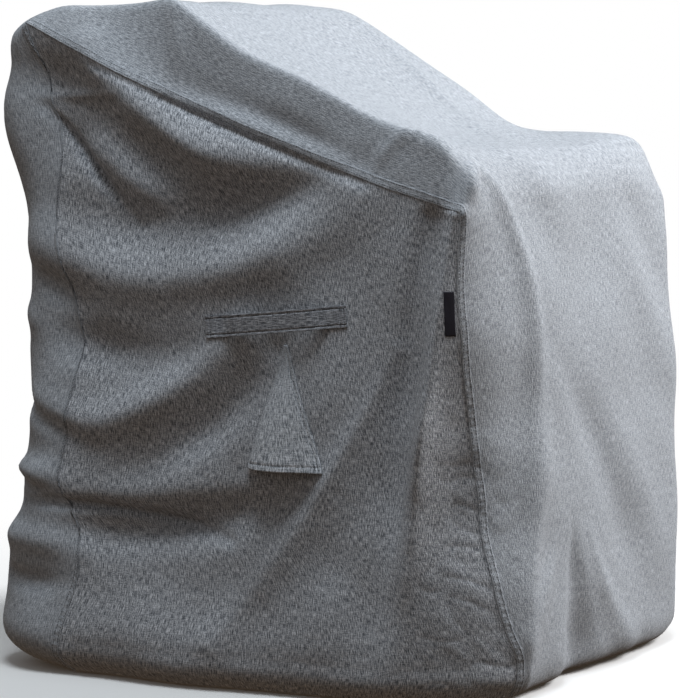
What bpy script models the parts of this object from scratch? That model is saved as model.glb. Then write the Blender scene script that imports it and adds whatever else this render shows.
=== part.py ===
"""Fitted cover for a stack of armchairs, hanging as it does on the chairs.

One long strip runs from the front hem up the front, back over the arms and the backrest,
and down the rear. A side panel with a sloping top edge is sewn to it on each side. Each
side panel carries a webbing handle and a hooded vent, and a bare label sits in the front
left seam. Metres, +Z up, front towards -Y, left towards -X as seen from the front.
"""
import bpy
import bmesh
import numpy as np
from collections import namedtuple
from mathutils import Vector
from mathutils.bvhtree import BVHTree

# ---- driving sizes, in metres unless the name says otherwise
CLOTH_THICK = 0.002
SEAM_GAP = 0.00036
FRONT_SEAM_TOP = 0.660      # height of the sewn corner at the front of the arms
REAR_SEAM_TOP = 0.913       # height of the sewn corner at the rear
FRONT_SEAM_Y = -0.335
REAR_SEAM_Y = 0.342
SEAM_SAG = 0.018            # how far the top seam hangs below a straight line
FRONT_BROW = 0.700          # height where the strip turns from the front to the top
REAR_BROW = 0.922
TURN_UNDER = 0.055          # depth of the hem drawn in below the chairs
TURN_RISE = 0.012
SKEW = 0.016                # the right front corner stands further forward
SKEW_X = 0.335
SKEW_Y = 0.345
TURN_ROWS = 3
SIDE_COLUMNS = 20
SIDE_ROWS = 21
STRIP_COLUMNS = 23
DENSE = 240                 # steps of the curves that the grids are read from
ROUNDING = 0.016            # softness of the ridges over the chairs' edges
CREST_X, CREST_Y = 0.345, 0.365
FLOOR_SHIFT = (0.0016, 0.0003, 0.0)     # puts the origin at the middle of the footprint

HANDLE_START = (0.039, 0.496)   # rear end of the handle's middle line, as (y, z)
HANDLE_END = (-0.171, 0.518)
HANDLE_WIDTH = 0.030
HANDLE_THICK = 0.0025
HANDLE_BOW = 0.017
HANDLE_SEWN = 0.10              # share of the handle that is sewn down at each end

VENT_APEX = (-0.077, 0.480)
VENT_REAR_FOOT = (-0.030, 0.308)
VENT_FRONT_FOOT = (-0.145, 0.306)
VENT_THICK = 0.0016
VENT_BOW = 0.020
VENT_READ = 0.007               # the panel is read this far around each point of the hood

LABEL_TOP = (-0.317, 0.556)
LABEL_FOOT = (-0.318, 0.497)
LABEL_WIDTH = 0.015
LABEL_THICK = 0.001
LABEL_READ = 0.010
LABEL_CLEARANCE = 0.0018      # space under the label, which lies over a fold

SEWN_CLEARANCE = 0.0005         # space under what is sewn flat to a panel


class Table:
    """Rows of a table with named columns, read between its rows along a smooth curve."""

    def __init__(self, columns, rows):
        self.columns = columns.split()
        self.rows = np.array(rows, float)
        self.key = self.rows[:, 0]
        self.slope = np.gradient(self.rows, self.key, axis=0)

    def at(self, column, key):
        k = self.columns.index(column)
        key = np.clip(key, self.key[0], self.key[-1])
        i = np.clip(np.searchsorted(self.key, key) - 1, 0, len(self.key) - 2)
        step = self.key[i + 1] - self.key[i]
        t = (key - self.key[i]) / step
        value, slope = self.rows[:, k], self.slope[:, k]
        ease = 3 * t ** 2 - 2 * t ** 3
        return ((1 - ease) * value[i] + ease * value[i + 1]
                + (t ** 3 - 2 * t ** 2 + t) * step * slope[i]
                + (t ** 3 - t ** 2) * step * slope[i + 1])


# Plan of the walls at each height: reach to each side, then the runs of the rounded corners.
WALLS = Table(
    "height left  right  front  rear   fl_run fl_deep fr_run rl_run rr_run", [
    [0.00, 0.346, 0.345, 0.379, 0.372, 0.120, 0.150, 0.130, 0.120, 0.120],
    [0.02, 0.363, 0.360, 0.391, 0.391, 0.130, 0.156, 0.130, 0.120, 0.120],
    [0.05, 0.366, 0.366, 0.393, 0.398, 0.130, 0.157, 0.130, 0.110, 0.120],
    [0.11, 0.366, 0.366, 0.394, 0.405, 0.130, 0.157, 0.130, 0.100, 0.120],
    [0.25, 0.360, 0.362, 0.390, 0.382, 0.160, 0.130, 0.120, 0.090, 0.110],
    [0.36, 0.353, 0.355, 0.386, 0.362, 0.185, 0.100, 0.100, 0.080, 0.100],
    [0.48, 0.346, 0.348, 0.379, 0.366, 0.205, 0.070, 0.090, 0.080, 0.090],
    [0.56, 0.341, 0.342, 0.369, 0.359, 0.180, 0.050, 0.070, 0.080, 0.080],
    [0.62, 0.338, 0.340, 0.359, 0.357, 0.120, 0.028, 0.050, 0.070, 0.080],
    [0.66, 0.337, 0.338, 0.352, 0.373, 0.060, 0.012, 0.032, 0.070, 0.080],
    [0.80, 0.335, 0.336, 0.344, 0.407, 0.026, 0.013, 0.030, 0.050, 0.060],
    [0.95, 0.333, 0.334, 0.340, 0.370, 0.030, 0.020, 0.040, 0.030, 0.050],
])

# Where each upright seam lies on the wall: degrees round from straight ahead.
SEAMS = Table(
    "height front_left front_right rear_left rear_right", [
    [0.000, 33.8, 38.0, 126.0, 128.0],
    [0.050, 34.2, 39.0, 125.5, 127.5],
    [0.090, 36.2, 39.0, 124.6, 127.0],
    [0.140, 38.2, 40.0, 123.4, 127.0],
    [0.210, 39.9, 41.0, 124.0, 127.0],
    [0.260, 40.5, 42.0, 126.7, 127.5],
    [0.360, 42.5, 43.0, 126.6, 128.0],
    [0.480, 44.8, 44.0, 125.8, 128.5],
    [0.560, 45.4, 44.5, 128.0, 129.5],
    [0.660, 45.2, 44.8, 130.6, 131.0],
    [0.750, 45.2, 44.8, 130.6, 132.0],
    [0.800, 45.2, 44.8, 132.4, 133.0],
    [0.913, 45.2, 44.8, 135.6, 135.6],
])

# Cross-sections over the top, front to rear: the two ridges over the chairs' outer edges
# and the height between them.
DECK = Table(
    "depth   left_x left_z mid_z  right_z right_x", [
    [-0.345, 0.332, 0.712, 0.702, 0.716, 0.332],
    [-0.320, 0.330, 0.741, 0.729, 0.744, 0.324],
    [-0.269, 0.327, 0.757, 0.741, 0.751, 0.300],
    [-0.200, 0.322, 0.784, 0.756, 0.756, 0.268],
    [-0.134, 0.318, 0.813, 0.785, 0.775, 0.254],
    [-0.060, 0.318, 0.845, 0.824, 0.828, 0.248],
    [+0.005, 0.318, 0.874, 0.864, 0.870, 0.245],
    [+0.070, 0.314, 0.912, 0.903, 0.909, 0.242],
    [+0.124, 0.300, 0.940, 0.937, 0.938, 0.242],
    [+0.180, 0.290, 0.941, 0.944, 0.945, 0.248],
    [+0.260, 0.295, 0.935, 0.936, 0.940, 0.270],
    [+0.330, 0.310, 0.928, 0.924, 0.928, 0.296],
    [+0.360, 0.318, 0.905, 0.900, 0.905, 0.305],
])

# One row for each fold. A fold runs from start through middle to end, given on its face as
# (y, z) on the left and right, (x, z) on the front and rear, (x, y) on the top. Its lift is
# in millimetres at those three places, outwards or, below zero, inwards, and its width in
# millimetres at both ends. Crisp is 0 for a soft wave and 1 for a sharp crease.
Fold = namedtuple("Fold", "name face start middle end lift width crisp")
FOLDS = [Fold(*row) for row in (
    ("bulge under the top seam", "left", (0.240, 0.880), (0.084, 0.752), (-0.140, 0.710),
     (16, 28, 8), (30, 36), 0),
    ("valley above the swag", "left", (0.300, 0.662), (0.090, 0.642), (-0.190, 0.724),
     (-3, -19, -3), (38, 26), 0.1),
    ("swag", "left", (0.320, 0.607), (0.050, 0.566), (-0.240, 0.712),
     (10, 23, 3), (38, 42), 0),
    ("drag crease", "left", (0.318, 0.790), (0.240, 0.716), (0.163, 0.630),
     (-5, -15, -3), (9, 13), 0.5),
    ("drag ridge", "left", (0.255, 0.770), (0.172, 0.700), (0.100, 0.642),
     (3, 10, 3), (18, 24), 0),
    ("drag trough", "left", (0.186, 0.798), (0.112, 0.723), (0.030, 0.648),
     (-6, -14, -4), (28, 34), 0),
    ("trough under the swag", "left", (0.340, 0.500), (0.225, 0.462), (0.090, 0.458),
     (-5, -22, -4), (34, 28), 0),
    ("shelf left of the handle", "left", (0.095, 0.500), (0.050, 0.500), (-0.010, 0.508),
     (3, 8, 3), (34, 34), 0),
    ("middle ridge", "left", (0.315, 0.368), (0.165, 0.370), (-0.012, 0.487),
     (12, 21, 9), (34, 26), 0),
    ("middle trough", "left", (0.175, 0.292), (0.050, 0.348), (-0.060, 0.460),
     (-4, -14, -9), (24, 28), 0),
    ("middle bulge", "left", (0.160, 0.290), (0.070, 0.300), (0.000, 0.330),
     (4, 9, 4), (50, 50), 0),
    ("deep trough", "left", (0.335, 0.214), (0.150, 0.210), (-0.110, 0.266),
     (-2, -25, -6), (26, 30), 0.1),
    ("crease under the lip", "left", (0.365, 0.236), (0.170, 0.236), (0.000, 0.205),
     (-6, -15, -4), (7, 10), 0.3),
    ("lip over the deep trough", "left", (0.310, 0.268), (0.110, 0.262), (-0.090, 0.296),
     (5, 8, 3), (24, 20), 0),
    ("belly", "left", (0.280, 0.050), (0.090, 0.040), (-0.080, 0.040),
     (10, 25, 9), (75, 75), 0),
    ("slanting ridge", "left", (-0.245, 0.475), (-0.140, 0.280), (0.015, 0.065),
     (3, 10, 7), (14, 30), 0.35),
    ("slanting trough", "left", (-0.240, 0.400), (-0.190, 0.250), (-0.080, 0.080),
     (-1, -5, -2), (24, 36), 0),
    ("trough beside the corner", "left", (-0.292, 0.650), (-0.258, 0.430), (-0.232, 0.130),
     (-12, -19, -9), (15, 32), 0),
    ("corner ridge", "left", (-0.324, 0.655), (-0.292, 0.435), (-0.260, 0.140),
     (12, 20, 12), (11, 22), 0.4),
    ("hollow of the corner", "front", (-0.330, 0.440), (-0.314, 0.320), (-0.320, 0.160),
     (-1, -7, -2), (30, 44), 0),
    ("lift towards the corner", "left", (-0.110, 0.185), (-0.160, 0.110), (-0.190, 0.030),
     (2, 6, 4), (40, 50), 0),
    ("nip under the top seam", "left", (0.225, 0.852), (0.040, 0.776), (-0.190, 0.696),
     (-2, -9, -4), (5, 8), 0.3),
    ("overhang at the rear", "left", (0.392, 0.848), (0.318, 0.836), (0.240, 0.800),
     (-10, -21, -6), (36, 42), 0),
    ("recess under the overhang", "left", (0.330, 0.780), (0.270, 0.758), (0.205, 0.735),
     (-4, -12, -6), (36, 44), 0),
    ("crimp in the overhang", "left", (0.330, 0.811), (0.265, 0.811), (0.195, 0.812),
     (2, 4, 2), (7, 8), 0.3),
    ("rear buckle 1", "left", (0.335, 0.565), (0.300, 0.548), (0.250, 0.525),
     (-6, -14, -6), (16, 24), 0),
    ("rear swell 1", "left", (0.345, 0.502), (0.305, 0.478), (0.260, 0.460),
     (10, 6, 2), (22, 30), 0),
    ("rear buckle 2", "left", (0.350, 0.385), (0.300, 0.355), (0.215, 0.322),
     (-12, -13, -4), (14, 18), 0.3),
    ("rear swell 2", "left", (0.350, 0.284), (0.300, 0.280), (0.260, 0.280),
     (12, 11, 3), (13, 28), 0),
    ("rear buckle 3", "left", (0.360, 0.258), (0.315, 0.256), (0.275, 0.255),
     (-5, -8, -2), (10, 10), 0.3),
    ("rear swell 3", "left", (0.365, 0.190), (0.305, 0.185), (0.240, 0.180),
     (12, 11, 3), (22, 24), 0),
    ("rear buckle 4", "left", (0.375, 0.128), (0.320, 0.126), (0.262, 0.128),
     (-12, -12, -2), (14, 16), 0.3),
    ("rear swell 4", "left", (0.380, 0.045), (0.310, 0.042), (0.235, 0.055),
     (13, 14, 6), (38, 44), 0),
    ("corner of the brow", "front", (-0.300, 0.735), (-0.318, 0.698), (-0.335, 0.664),
     (12, 16, 3), (12, 14), 0.4),
    ("fall from the arm's corner", "front", (-0.278, 0.722), (-0.190, 0.500),
     (-0.235, 0.140), (6, 9, 3), (16, 32), 0.2),
    ("front valley", "front", (-0.155, 0.480), (0.000, 0.300), (0.130, 0.090),
     (-1, -4, -2), (20, 44), 0),
    ("front crest", "front", (-0.075, 0.465), (0.050, 0.335), (0.170, 0.155),
     (1, 5, 2), (34, 48), 0),
    ("pointed fold", "front", (-0.104, 0.232), (-0.092, 0.135), (-0.070, 0.035),
     (-1, -12, -22), (7, 46), 0.1),
    ("right lip of the point", "front", (-0.050, 0.205), (0.000, 0.115), (0.095, 0.020),
     (1, 5, 7), (12, 30), 0),
    ("left lip of the point", "front", (-0.145, 0.205), (-0.190, 0.140), (-0.235, 0.080),
     (1, 5, 6), (12, 30), 0),
    ("slanting fold on top", "top", (0.198, 0.112), (0.140, -0.045), (0.005, -0.245),
     (3, 8, 2), (18, 26), 0.2),
    ("fall from the backrest", "top", (-0.290, 0.130), (-0.315, 0.105), (-0.332, 0.110),
     (3, 7, 2), (14, 20), 0.2),
    ("hollow below the ridge", "top", (-0.330, 0.075), (-0.330, -0.065), (-0.333, -0.200),
     (-2, -8, -3), (20, 18), 0),
    ("ridge over the arm", "top", (-0.305, 0.100), (-0.306, -0.080), (-0.312, -0.290),
     (2, 4, 4), (13, 11), 0.3),
    ("tuck over the arm's corner", "top", (-0.334, -0.200), (-0.322, -0.255), (-0.308, -0.300),
     (2, 6, 4), (9, 12), 0.4),
    ("roll over the top seam", "top", (-0.333, 0.140), (-0.333, -0.010), (-0.333, -0.160),
     (1, 6, 2), (8, 8), 0.2),
    ("right bulge under the seam", "right", (0.240, 0.850), (0.060, 0.760), (-0.200, 0.690),
     (4, 18, 6), (45, 40), 0),
    ("right valley", "right", (0.280, 0.620), (0.050, 0.560), (-0.250, 0.620),
     (-6, -15, -5), (45, 38), 0.1),
    ("right swag", "right", (0.290, 0.530), (0.060, 0.470), (-0.270, 0.560),
     (6, 17, 6), (46, 40), 0),
    ("right drag ridge", "right", (-0.290, 0.610), (-0.160, 0.400), (0.090, 0.200),
     (2, 11, 4), (20, 34), 0.2),
    ("right low trough", "right", (0.350, 0.240), (0.110, 0.210), (-0.120, 0.270),
     (-10, -20, -4), (30, 36), 0.2),
    ("right belly", "right", (0.260, 0.100), (0.020, 0.100), (-0.180, 0.120),
     (6, 16, 6), (70, 80), 0),
    ("right rear buckle", "right", (0.360, 0.400), (0.310, 0.405), (0.250, 0.395),
     (-10, -10, -2), (16, 18), 0.3),
    ("rear hollow", "rear", (-0.260, 0.780), (0.000, 0.690), (0.260, 0.770),
     (-5, -14, -5), (60, 60), 0),
    ("rear swag", "rear", (-0.300, 0.580), (0.020, 0.470), (0.300, 0.590),
     (6, 15, 6), (50, 52), 0),
    ("rear low trough", "rear", (-0.330, 0.225), (0.000, 0.250), (0.320, 0.230),
     (-8, -16, -8), (34, 36), 0.2),
    ("rear upright ridge", "rear", (0.120, 0.400), (0.100, 0.220), (0.130, 0.040),
     (0, 9, 10), (24, 40), 0.1),
)]
FOLD_STEPS = 8
FOLD_REACH = 3.2            # a fold fades out at this many widths from its line
FOLD_DEPTH = 0.050          # cloth further than this below or above the line stays out
CRISP_ROUND = 0.25


def ease(t):
    t = np.clip(t, 0, 1)
    return t * t * (3 - 2 * t)


def seam_height(y):
    """Height of the sloping top seam at depth y."""
    share = np.clip((y - FRONT_SEAM_Y) / (REAR_SEAM_Y - FRONT_SEAM_Y), 0, 1)
    straight = FRONT_SEAM_TOP + (REAR_SEAM_TOP - FRONT_SEAM_TOP) * share
    return straight - 4 * SEAM_SAG * share * (1 - share)


def wall_point(bearing, z):
    """Point of the rounded plan at a height, in the direction of a bearing in radians."""
    across, along = np.sin(bearing), -np.cos(bearing)
    left, front = across < 0, along < 0
    reach_x = np.where(left, WALLS.at("left", z), WALLS.at("right", z))
    reach_y = np.where(front, WALLS.at("front", z), WALLS.at("rear", z))
    front_run = np.where(left, WALLS.at("fl_run", z), WALLS.at("fr_run", z))
    rear_run = np.where(left, WALLS.at("rl_run", z), WALLS.at("rr_run", z))
    run_x = np.where(front, front_run, rear_run)
    run_y = np.where(front & left, WALLS.at("fl_deep", z), run_x)
    c, s = np.maximum(abs(across), 1e-9), np.maximum(abs(along), 1e-9)
    flat = np.minimum(reach_x / c, reach_y / s)
    centre_x, centre_y = reach_x - run_x, reach_y - run_y
    a = (c / run_x) ** 2 + (s / run_y) ** 2
    b = c * centre_x / run_x ** 2 + s * centre_y / run_y ** 2
    q = (centre_x / run_x) ** 2 + (centre_y / run_y) ** 2 - 1
    arc = (b + np.sqrt(np.maximum(b * b - a * q, 0))) / a
    in_corner = (flat * c > centre_x) & (flat * s > centre_y)
    radius = np.where(in_corner, arc, flat)
    return np.stack([radius * across, radius * along, z + 0 * radius], -1)


def resample(points, count):
    """Read a line of points again at equal steps of its length."""
    length = np.r_[0, np.cumsum(np.linalg.norm(np.diff(points, axis=0), axis=1))]
    steps = np.linspace(0, length[-1], count)
    return np.stack([np.interp(steps, length, points[:, k]) for k in range(3)], -1)


def soften(values, sigma):
    """Round the corners of a line of values, its two ends kept."""
    reach = int(3 * sigma)
    weights = np.exp(-0.5 * (np.arange(-reach, reach + 1) / sigma) ** 2)
    weights /= weights.sum()
    before = 2 * values[0] - values[reach:0:-1]
    after = 2 * values[-1] - values[-2:-reach - 2:-1]
    return np.convolve(np.r_[before, values, after], weights, "valid")


def row_share(row):
    """Height share of a wall row, and how far under the hem it lies, from 0 to 1."""
    if row < TURN_ROWS:
        return 0.0, 1 - row / TURN_ROWS
    return (row - TURN_ROWS) / (SIDE_ROWS - 1 - TURN_ROWS), 0.0


def turned_under(points, share):
    inward = points[..., :2] / np.linalg.norm(points[..., :2], axis=-1, keepdims=True)
    moved = points.copy()
    moved[..., :2] -= inward * TURN_UNDER * share
    moved[..., 2] += TURN_RISE * share ** 2
    return moved


def side_grid(sign):
    """Rows of a side panel from its hem up, each from the rear seam to the front one."""
    end = "left" if sign < 0 else "right"
    rows = []
    for row in range(SIDE_ROWS):
        height, under = row_share(row)
        front = np.radians(SEAMS.at("front_" + end, height * FRONT_SEAM_TOP)) * sign
        rear = np.radians(SEAMS.at("rear_" + end, height * REAR_SEAM_TOP)) * sign
        bearing = np.linspace(rear, front, DENSE)
        z = np.full(DENSE, height * (FRONT_SEAM_TOP + REAR_SEAM_TOP) / 2)
        for _ in range(5):
            z = height * seam_height(wall_point(bearing, z)[:, 1])
        rows.append(turned_under(resample(wall_point(bearing, z), SIDE_COLUMNS), under))
    return np.array(rows)


def end_row(row, left, right, rear):
    """Row across the front or rear wall, between a point of each side panel's edge."""
    height, under = row_share(row)
    end = "rear" if rear else "front"
    seam_top, brow = (REAR_SEAM_TOP, REAR_BROW) if rear else (FRONT_SEAM_TOP, FRONT_BROW)
    first = -np.radians(SEAMS.at(end + "_left", height * seam_top))
    last = np.radians(SEAMS.at(end + "_right", height * seam_top))
    bearing = np.linspace(first, last - 2 * np.pi if rear else last, DENSE)
    u = np.linspace(0, 1, DENSE)
    rise = 1 - (1 - np.clip(np.minimum(u, 1 - u) / 0.2, 0, 1)) ** 2
    z = height * seam_top + height ** 2 * (brow - seam_top) * rise
    points = turned_under(resample(wall_point(bearing, z), STRIP_COLUMNS), under)
    points[0], points[-1] = left, right
    return points


def deck_row(left, right):
    """Row over the top, from a point of the left seam to one of the right seam."""
    depth = (left[1] + right[1]) / 2
    left_x, left_z, mid_z, right_z, right_x = (
        float(DECK.at(column, depth)) for column in DECK.columns[1:])
    x = np.array([left[0], -left_x, -0.45 * left_x, 0, 0.45 * right_x, right_x, right[0]])
    z = np.array([left[2], left_z, 0.3 * left_z + 0.7 * mid_z, mid_z,
                  0.3 * right_z + 0.7 * mid_z, right_z, right[2]])
    length = np.r_[0, np.cumsum(np.hypot(np.diff(x), np.diff(z)))]
    steps = np.linspace(0, length[-1], DENSE)
    sigma = ROUNDING * DENSE / length[-1]
    line = np.stack([soften(np.interp(steps, length, x), sigma), np.zeros(DENSE),
                     soften(np.interp(steps, length, z), sigma)], -1)
    line[0], line[-1] = left, right
    line[[0, -1], 1] = 0
    points = resample(line, STRIP_COLUMNS)
    points[:, 1] = np.linspace(left[1], right[1], STRIP_COLUMNS)
    return points


def strip_grid(left, right):
    """Rows of the strip from the front hem over the top to the rear hem."""
    walls = range(SIDE_ROWS)
    rows = [end_row(k, left[k, -1], right[k, -1], False) for k in walls]
    rows += [deck_row(left[-1, k], right[-1, k]) for k in range(SIDE_COLUMNS - 2, 0, -1)]
    rows += [end_row(k, left[k, 0], right[k, 0], True) for k in reversed(walls)]
    return rounded_brows(np.array(rows))


def rounded_brows(grid):
    """Soften the strip along its length, its seams kept where they are."""
    step = np.linalg.norm(np.diff(grid, axis=0), axis=-1).mean()
    u = np.linspace(0, 1, grid.shape[1])
    free = np.clip(np.minimum(u, 1 - u) / 0.05, 0, 1)[None, :, None]
    for _ in range(max(1, round(2 * (ROUNDING / step) ** 2))):
        soft = grid.copy()
        soft[1:-1] = 0.5 * grid[1:-1] + 0.25 * (grid[:-2] + grid[2:])
        grid = grid + (soft - grid) * free
    return grid


def skewed(points):
    """Bring the right front corner forward, as the cover sits slightly turned."""
    moved = points.copy()
    front = np.clip(-points[..., 1] / SKEW_Y, 0, 1.2) ** 2
    moved[..., 1] -= SKEW * np.clip(points[..., 0] / SKEW_X + 1, 0, 2.2) / 2 * front
    return moved


def outward(points):
    """Direction in which folds rise: out of the wall, or up from the top."""
    x, y, z = points[..., 0], points[..., 1], points[..., 2]
    deck = 0.745 + 0.200 * np.clip((y + 0.30) / 0.45, 0, 1)
    direction = np.stack([np.sign(x) * np.clip(abs(x) / CREST_X, 0, 1.3) ** 7,
                          np.sign(y) * np.clip(abs(y) / CREST_Y, 0, 1.3) ** 7,
                          np.clip((z - 0.15) / (deck - 0.15), 0, 1.1) ** 15.4 + 1e-9], -1)
    return direction / np.linalg.norm(direction, axis=-1, keepdims=True)


def on_face(face, place):
    """Point of the plain form at a place of one of its faces."""
    if face == "top":
        x, y = place
        names = ("left_z", "left_z", "mid_z", "right_z", "right_z")
        seam = float(seam_height(y))
        heights = [seam] + [float(DECK.at(name, y)) for name in names[1:-1]] + [seam]
        across = [-0.335, -float(DECK.at("left_x", y)), 0, float(DECK.at("right_x", y)), 0.335]
        return skewed(np.array([x, y, np.interp(x, across, heights)]))
    lengthwise, z = place
    middle = {"left": -np.pi / 2, "right": np.pi / 2, "front": 0.0, "rear": np.pi}[face]
    bearings = middle + np.linspace(-1.1, 1.1, DENSE)
    points = wall_point(bearings, np.full(DENSE, z))
    axis = 1 if face in ("left", "right") else 0
    nearest = np.argmin(abs(points[:, axis] - lengthwise))
    return skewed(points[nearest])


def fold_path(fold):
    """The fold's curved line, as points from its start to its end."""
    start, middle, end = (on_face(fold.face, place) for place in fold[2:5])
    t = np.linspace(0, 1, FOLD_STEPS + 1)[:, None]
    bend = 2 * middle - 0.5 * (start + end)
    return (1 - t) ** 2 * start + 2 * t * (1 - t) * bend + t * t * end


def fold_lift(points, rise, fold):
    """How far one fold moves each point, in metres."""
    path = fold_path(fold)
    length = np.r_[0, np.cumsum(np.linalg.norm(np.diff(path, axis=0), axis=1))]
    nearest = np.full(points.shape[:-1], 1e9)
    share = np.zeros_like(nearest)
    for k in range(FOLD_STEPS):
        run = path[k + 1] - path[k]
        t = np.clip(((points - path[k]) @ run) / (run @ run), 0, 1)
        away = points - (path[k] + t[..., None] * run)
        depth = (away * rise).sum(-1)
        sideways = np.linalg.norm(away - depth[..., None] * rise, axis=-1)
        distance = np.hypot(sideways, np.maximum(abs(depth) - FOLD_DEPTH, 0))
        closer = distance < nearest
        nearest = np.where(closer, distance, nearest)
        along = (length[k] + t * np.linalg.norm(run)) / length[-1]
        share = np.where(closer, along, share)
    lift, width = np.array(fold.lift) / 1000, np.array(fold.width) / 1000
    height = np.where(share < 0.5, lift[0] + (lift[1] - lift[0]) * ease(2 * share),
                      lift[1] + (lift[2] - lift[1]) * ease(2 * share - 1))
    off = nearest / (width[0] + (width[1] - width[0]) * share)
    wave = np.exp(-off ** 2)
    crease = np.exp(-1.6 * (np.sqrt(off ** 2 + CRISP_ROUND ** 2) - CRISP_ROUND))
    profile = wave * (1 - fold.crisp) + crease * fold.crisp
    return height * profile * (1 - ease((off - 2.2) / (FOLD_REACH - 2.2)))


def draped(points):
    """Skew the plain form and raise every fold on it."""
    points = skewed(points)
    rise = outward(points)
    lift = sum(fold_lift(points, rise, fold) for fold in FOLDS)
    return points + rise * lift[..., None] + np.array(FLOOR_SHIFT)


def grid_normals(grid, sign):
    normal = np.cross(np.gradient(grid, axis=1), np.gradient(grid, axis=0)) * sign
    return normal / np.linalg.norm(normal, axis=-1, keepdims=True)


def side_edge(grid):
    """A side panel's sewn edge: up the front, back along the top and down the rear."""
    return np.concatenate([grid[:, -1], grid[-1, -2:0:-1], grid[::-1, 0]])


def set_side_edge(grid, edge):
    rows = SIDE_ROWS
    grid[:, -1] = edge[:rows]
    grid[-1, -2:0:-1] = edge[rows:-rows]
    grid[::-1, 0] = edge[-rows:]


def mitre(strip, strip_normal, column, side, side_normal):
    """Give the strip and a side panel one seam direction, and open the gap between them."""
    shared = strip_normal[:, column] + side_edge(side_normal)
    for _ in range(3):
        shared[1:-1] = 0.5 * shared[1:-1] + 0.25 * (shared[:-2] + shared[2:])
    shared /= np.linalg.norm(shared, axis=1, keepdims=True)
    strip_normal[:, column] = shared
    set_side_edge(side_normal, shared)
    seam = strip[:, column].copy()
    run = np.diff(seam, axis=0)
    run /= np.linalg.norm(run, axis=1, keepdims=True)
    before, after = np.r_[run[:1], run], np.r_[run, run[-1:]]
    turn = np.linalg.norm(before + after, axis=1, keepdims=True) / 2
    across = np.cross(shared, before + after)
    across /= np.linalg.norm(across, axis=1, keepdims=True) * turn
    inner = strip[:, 1 if column == 0 else -2]
    towards_strip = np.sign(((inner - seam) * across).sum(1, keepdims=True))
    across *= towards_strip * SEAM_GAP / 2
    strip[:, column] = seam + across
    set_side_edge(side, seam - across)


def new_material(name, colour, roughness):
    material = bpy.data.materials.new(name)
    material.use_nodes = True
    shader = material.node_tree.nodes["Principled BSDF"]
    shader.inputs["Base Color"].default_value = (*colour, 1)
    shader.inputs["Roughness"].default_value = roughness
    shader.inputs["Metallic"].default_value = 0.0
    return material


def sheet_solid(name, face, direction, thickness, material, collection):
    """Closed sheet: a grid bent onto the given face points, and pushed along a direction."""
    rows, columns = face.shape[:2]
    shape = bmesh.new()
    bmesh.ops.create_grid(shape, x_segments=columns - 1, y_segments=rows - 1, size=0.5)
    pushed = bmesh.ops.extrude_face_region(shape, geom=shape.faces[:])
    copies = [item for item in pushed["geom"] if isinstance(item, bmesh.types.BMVert)]
    bmesh.ops.translate(shape, vec=(0, 0, 1), verts=copies)
    second = face + direction * thickness
    for vertex in shape.verts:
        column = round((vertex.co.x + 0.5) * (columns - 1))
        row = round((vertex.co.y + 0.5) * (rows - 1))
        layer = second if vertex.co.z > 0.5 else face
        vertex.co = Vector(layer[row, column])
    bmesh.ops.triangulate(shape, faces=shape.faces[:])
    bmesh.ops.recalc_face_normals(shape, faces=shape.faces[:])
    if shape.calc_volume(signed=True) < 0:
        bmesh.ops.reverse_faces(shape, faces=shape.faces[:])
    mesh = bpy.data.meshes.new(name)
    shape.to_mesh(mesh)
    shape.free()
    mesh.shade_smooth()
    mesh.materials.append(material)
    sheet = bpy.data.objects.new(name, mesh)
    collection.objects.link(sheet)
    return sheet


def surface_reader(panel, sign):
    """Function that gives how far out a side panel's face stands around (y, z)."""
    corners = [vertex.co.copy() for vertex in panel.data.vertices]
    faces = [tuple(polygon.vertices) for polygon in panel.data.polygons]
    tree = BVHTree.FromPolygons(corners, faces)

    def read(y, z, reach=0.005):
        around = (-reach, -reach / 2, 0, reach / 2, reach)
        starts = [Vector((sign, y + dy, z + dz)) for dy in around for dz in around]
        hits = [tree.ray_cast(start, Vector((-sign, 0, 0)))[0] for start in starts]
        return max(hit.x * sign for hit in hits)

    return read


def flat_line(start, end, share):
    return (start[0] + (end[0] - start[0]) * share, start[1] + (end[1] - start[1]) * share)


def handle_sheet(name, sign, read, material, collection, steps=18, across=2):
    """Webbing strap sewn down at both ends, standing off the panel between them."""
    run = np.array(HANDLE_END) - np.array(HANDLE_START)
    side = np.array([-run[1], run[0]]) / np.linalg.norm(run)
    face = np.zeros((steps + 1, across + 1, 3))
    ends = [read(*flat_line(HANDLE_START, HANDLE_END, share)) for share in (0.05, 0.95)]
    for i in range(steps + 1):
        share = i / steps
        middle = flat_line(HANDLE_START, HANDLE_END, share)
        sewn = 1 - ease((min(share, 1 - share) - HANDLE_SEWN) / 0.14)
        arch = np.sin(np.pi * np.clip(share, 0, 1)) ** 0.5 * HANDLE_BOW
        for j in range(across + 1):
            offset = (j / across - 0.5) * HANDLE_WIDTH
            y, z = middle[0] + side[0] * offset, middle[1] + side[1] * offset
            on_panel = read(y, z)
            straight = ends[0] + (ends[1] - ends[0]) * share
            clear = max(straight + arch, on_panel + SEWN_CLEARANCE)
            x = sewn * (on_panel + SEWN_CLEARANCE) + (1 - sewn) * clear
            face[i, j] = (x * sign, y, z)
    direction = np.broadcast_to(np.array([sign, 0.0, 0.0]), face.shape)
    return sheet_solid(name, face, direction, HANDLE_THICK, material, collection)


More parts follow.
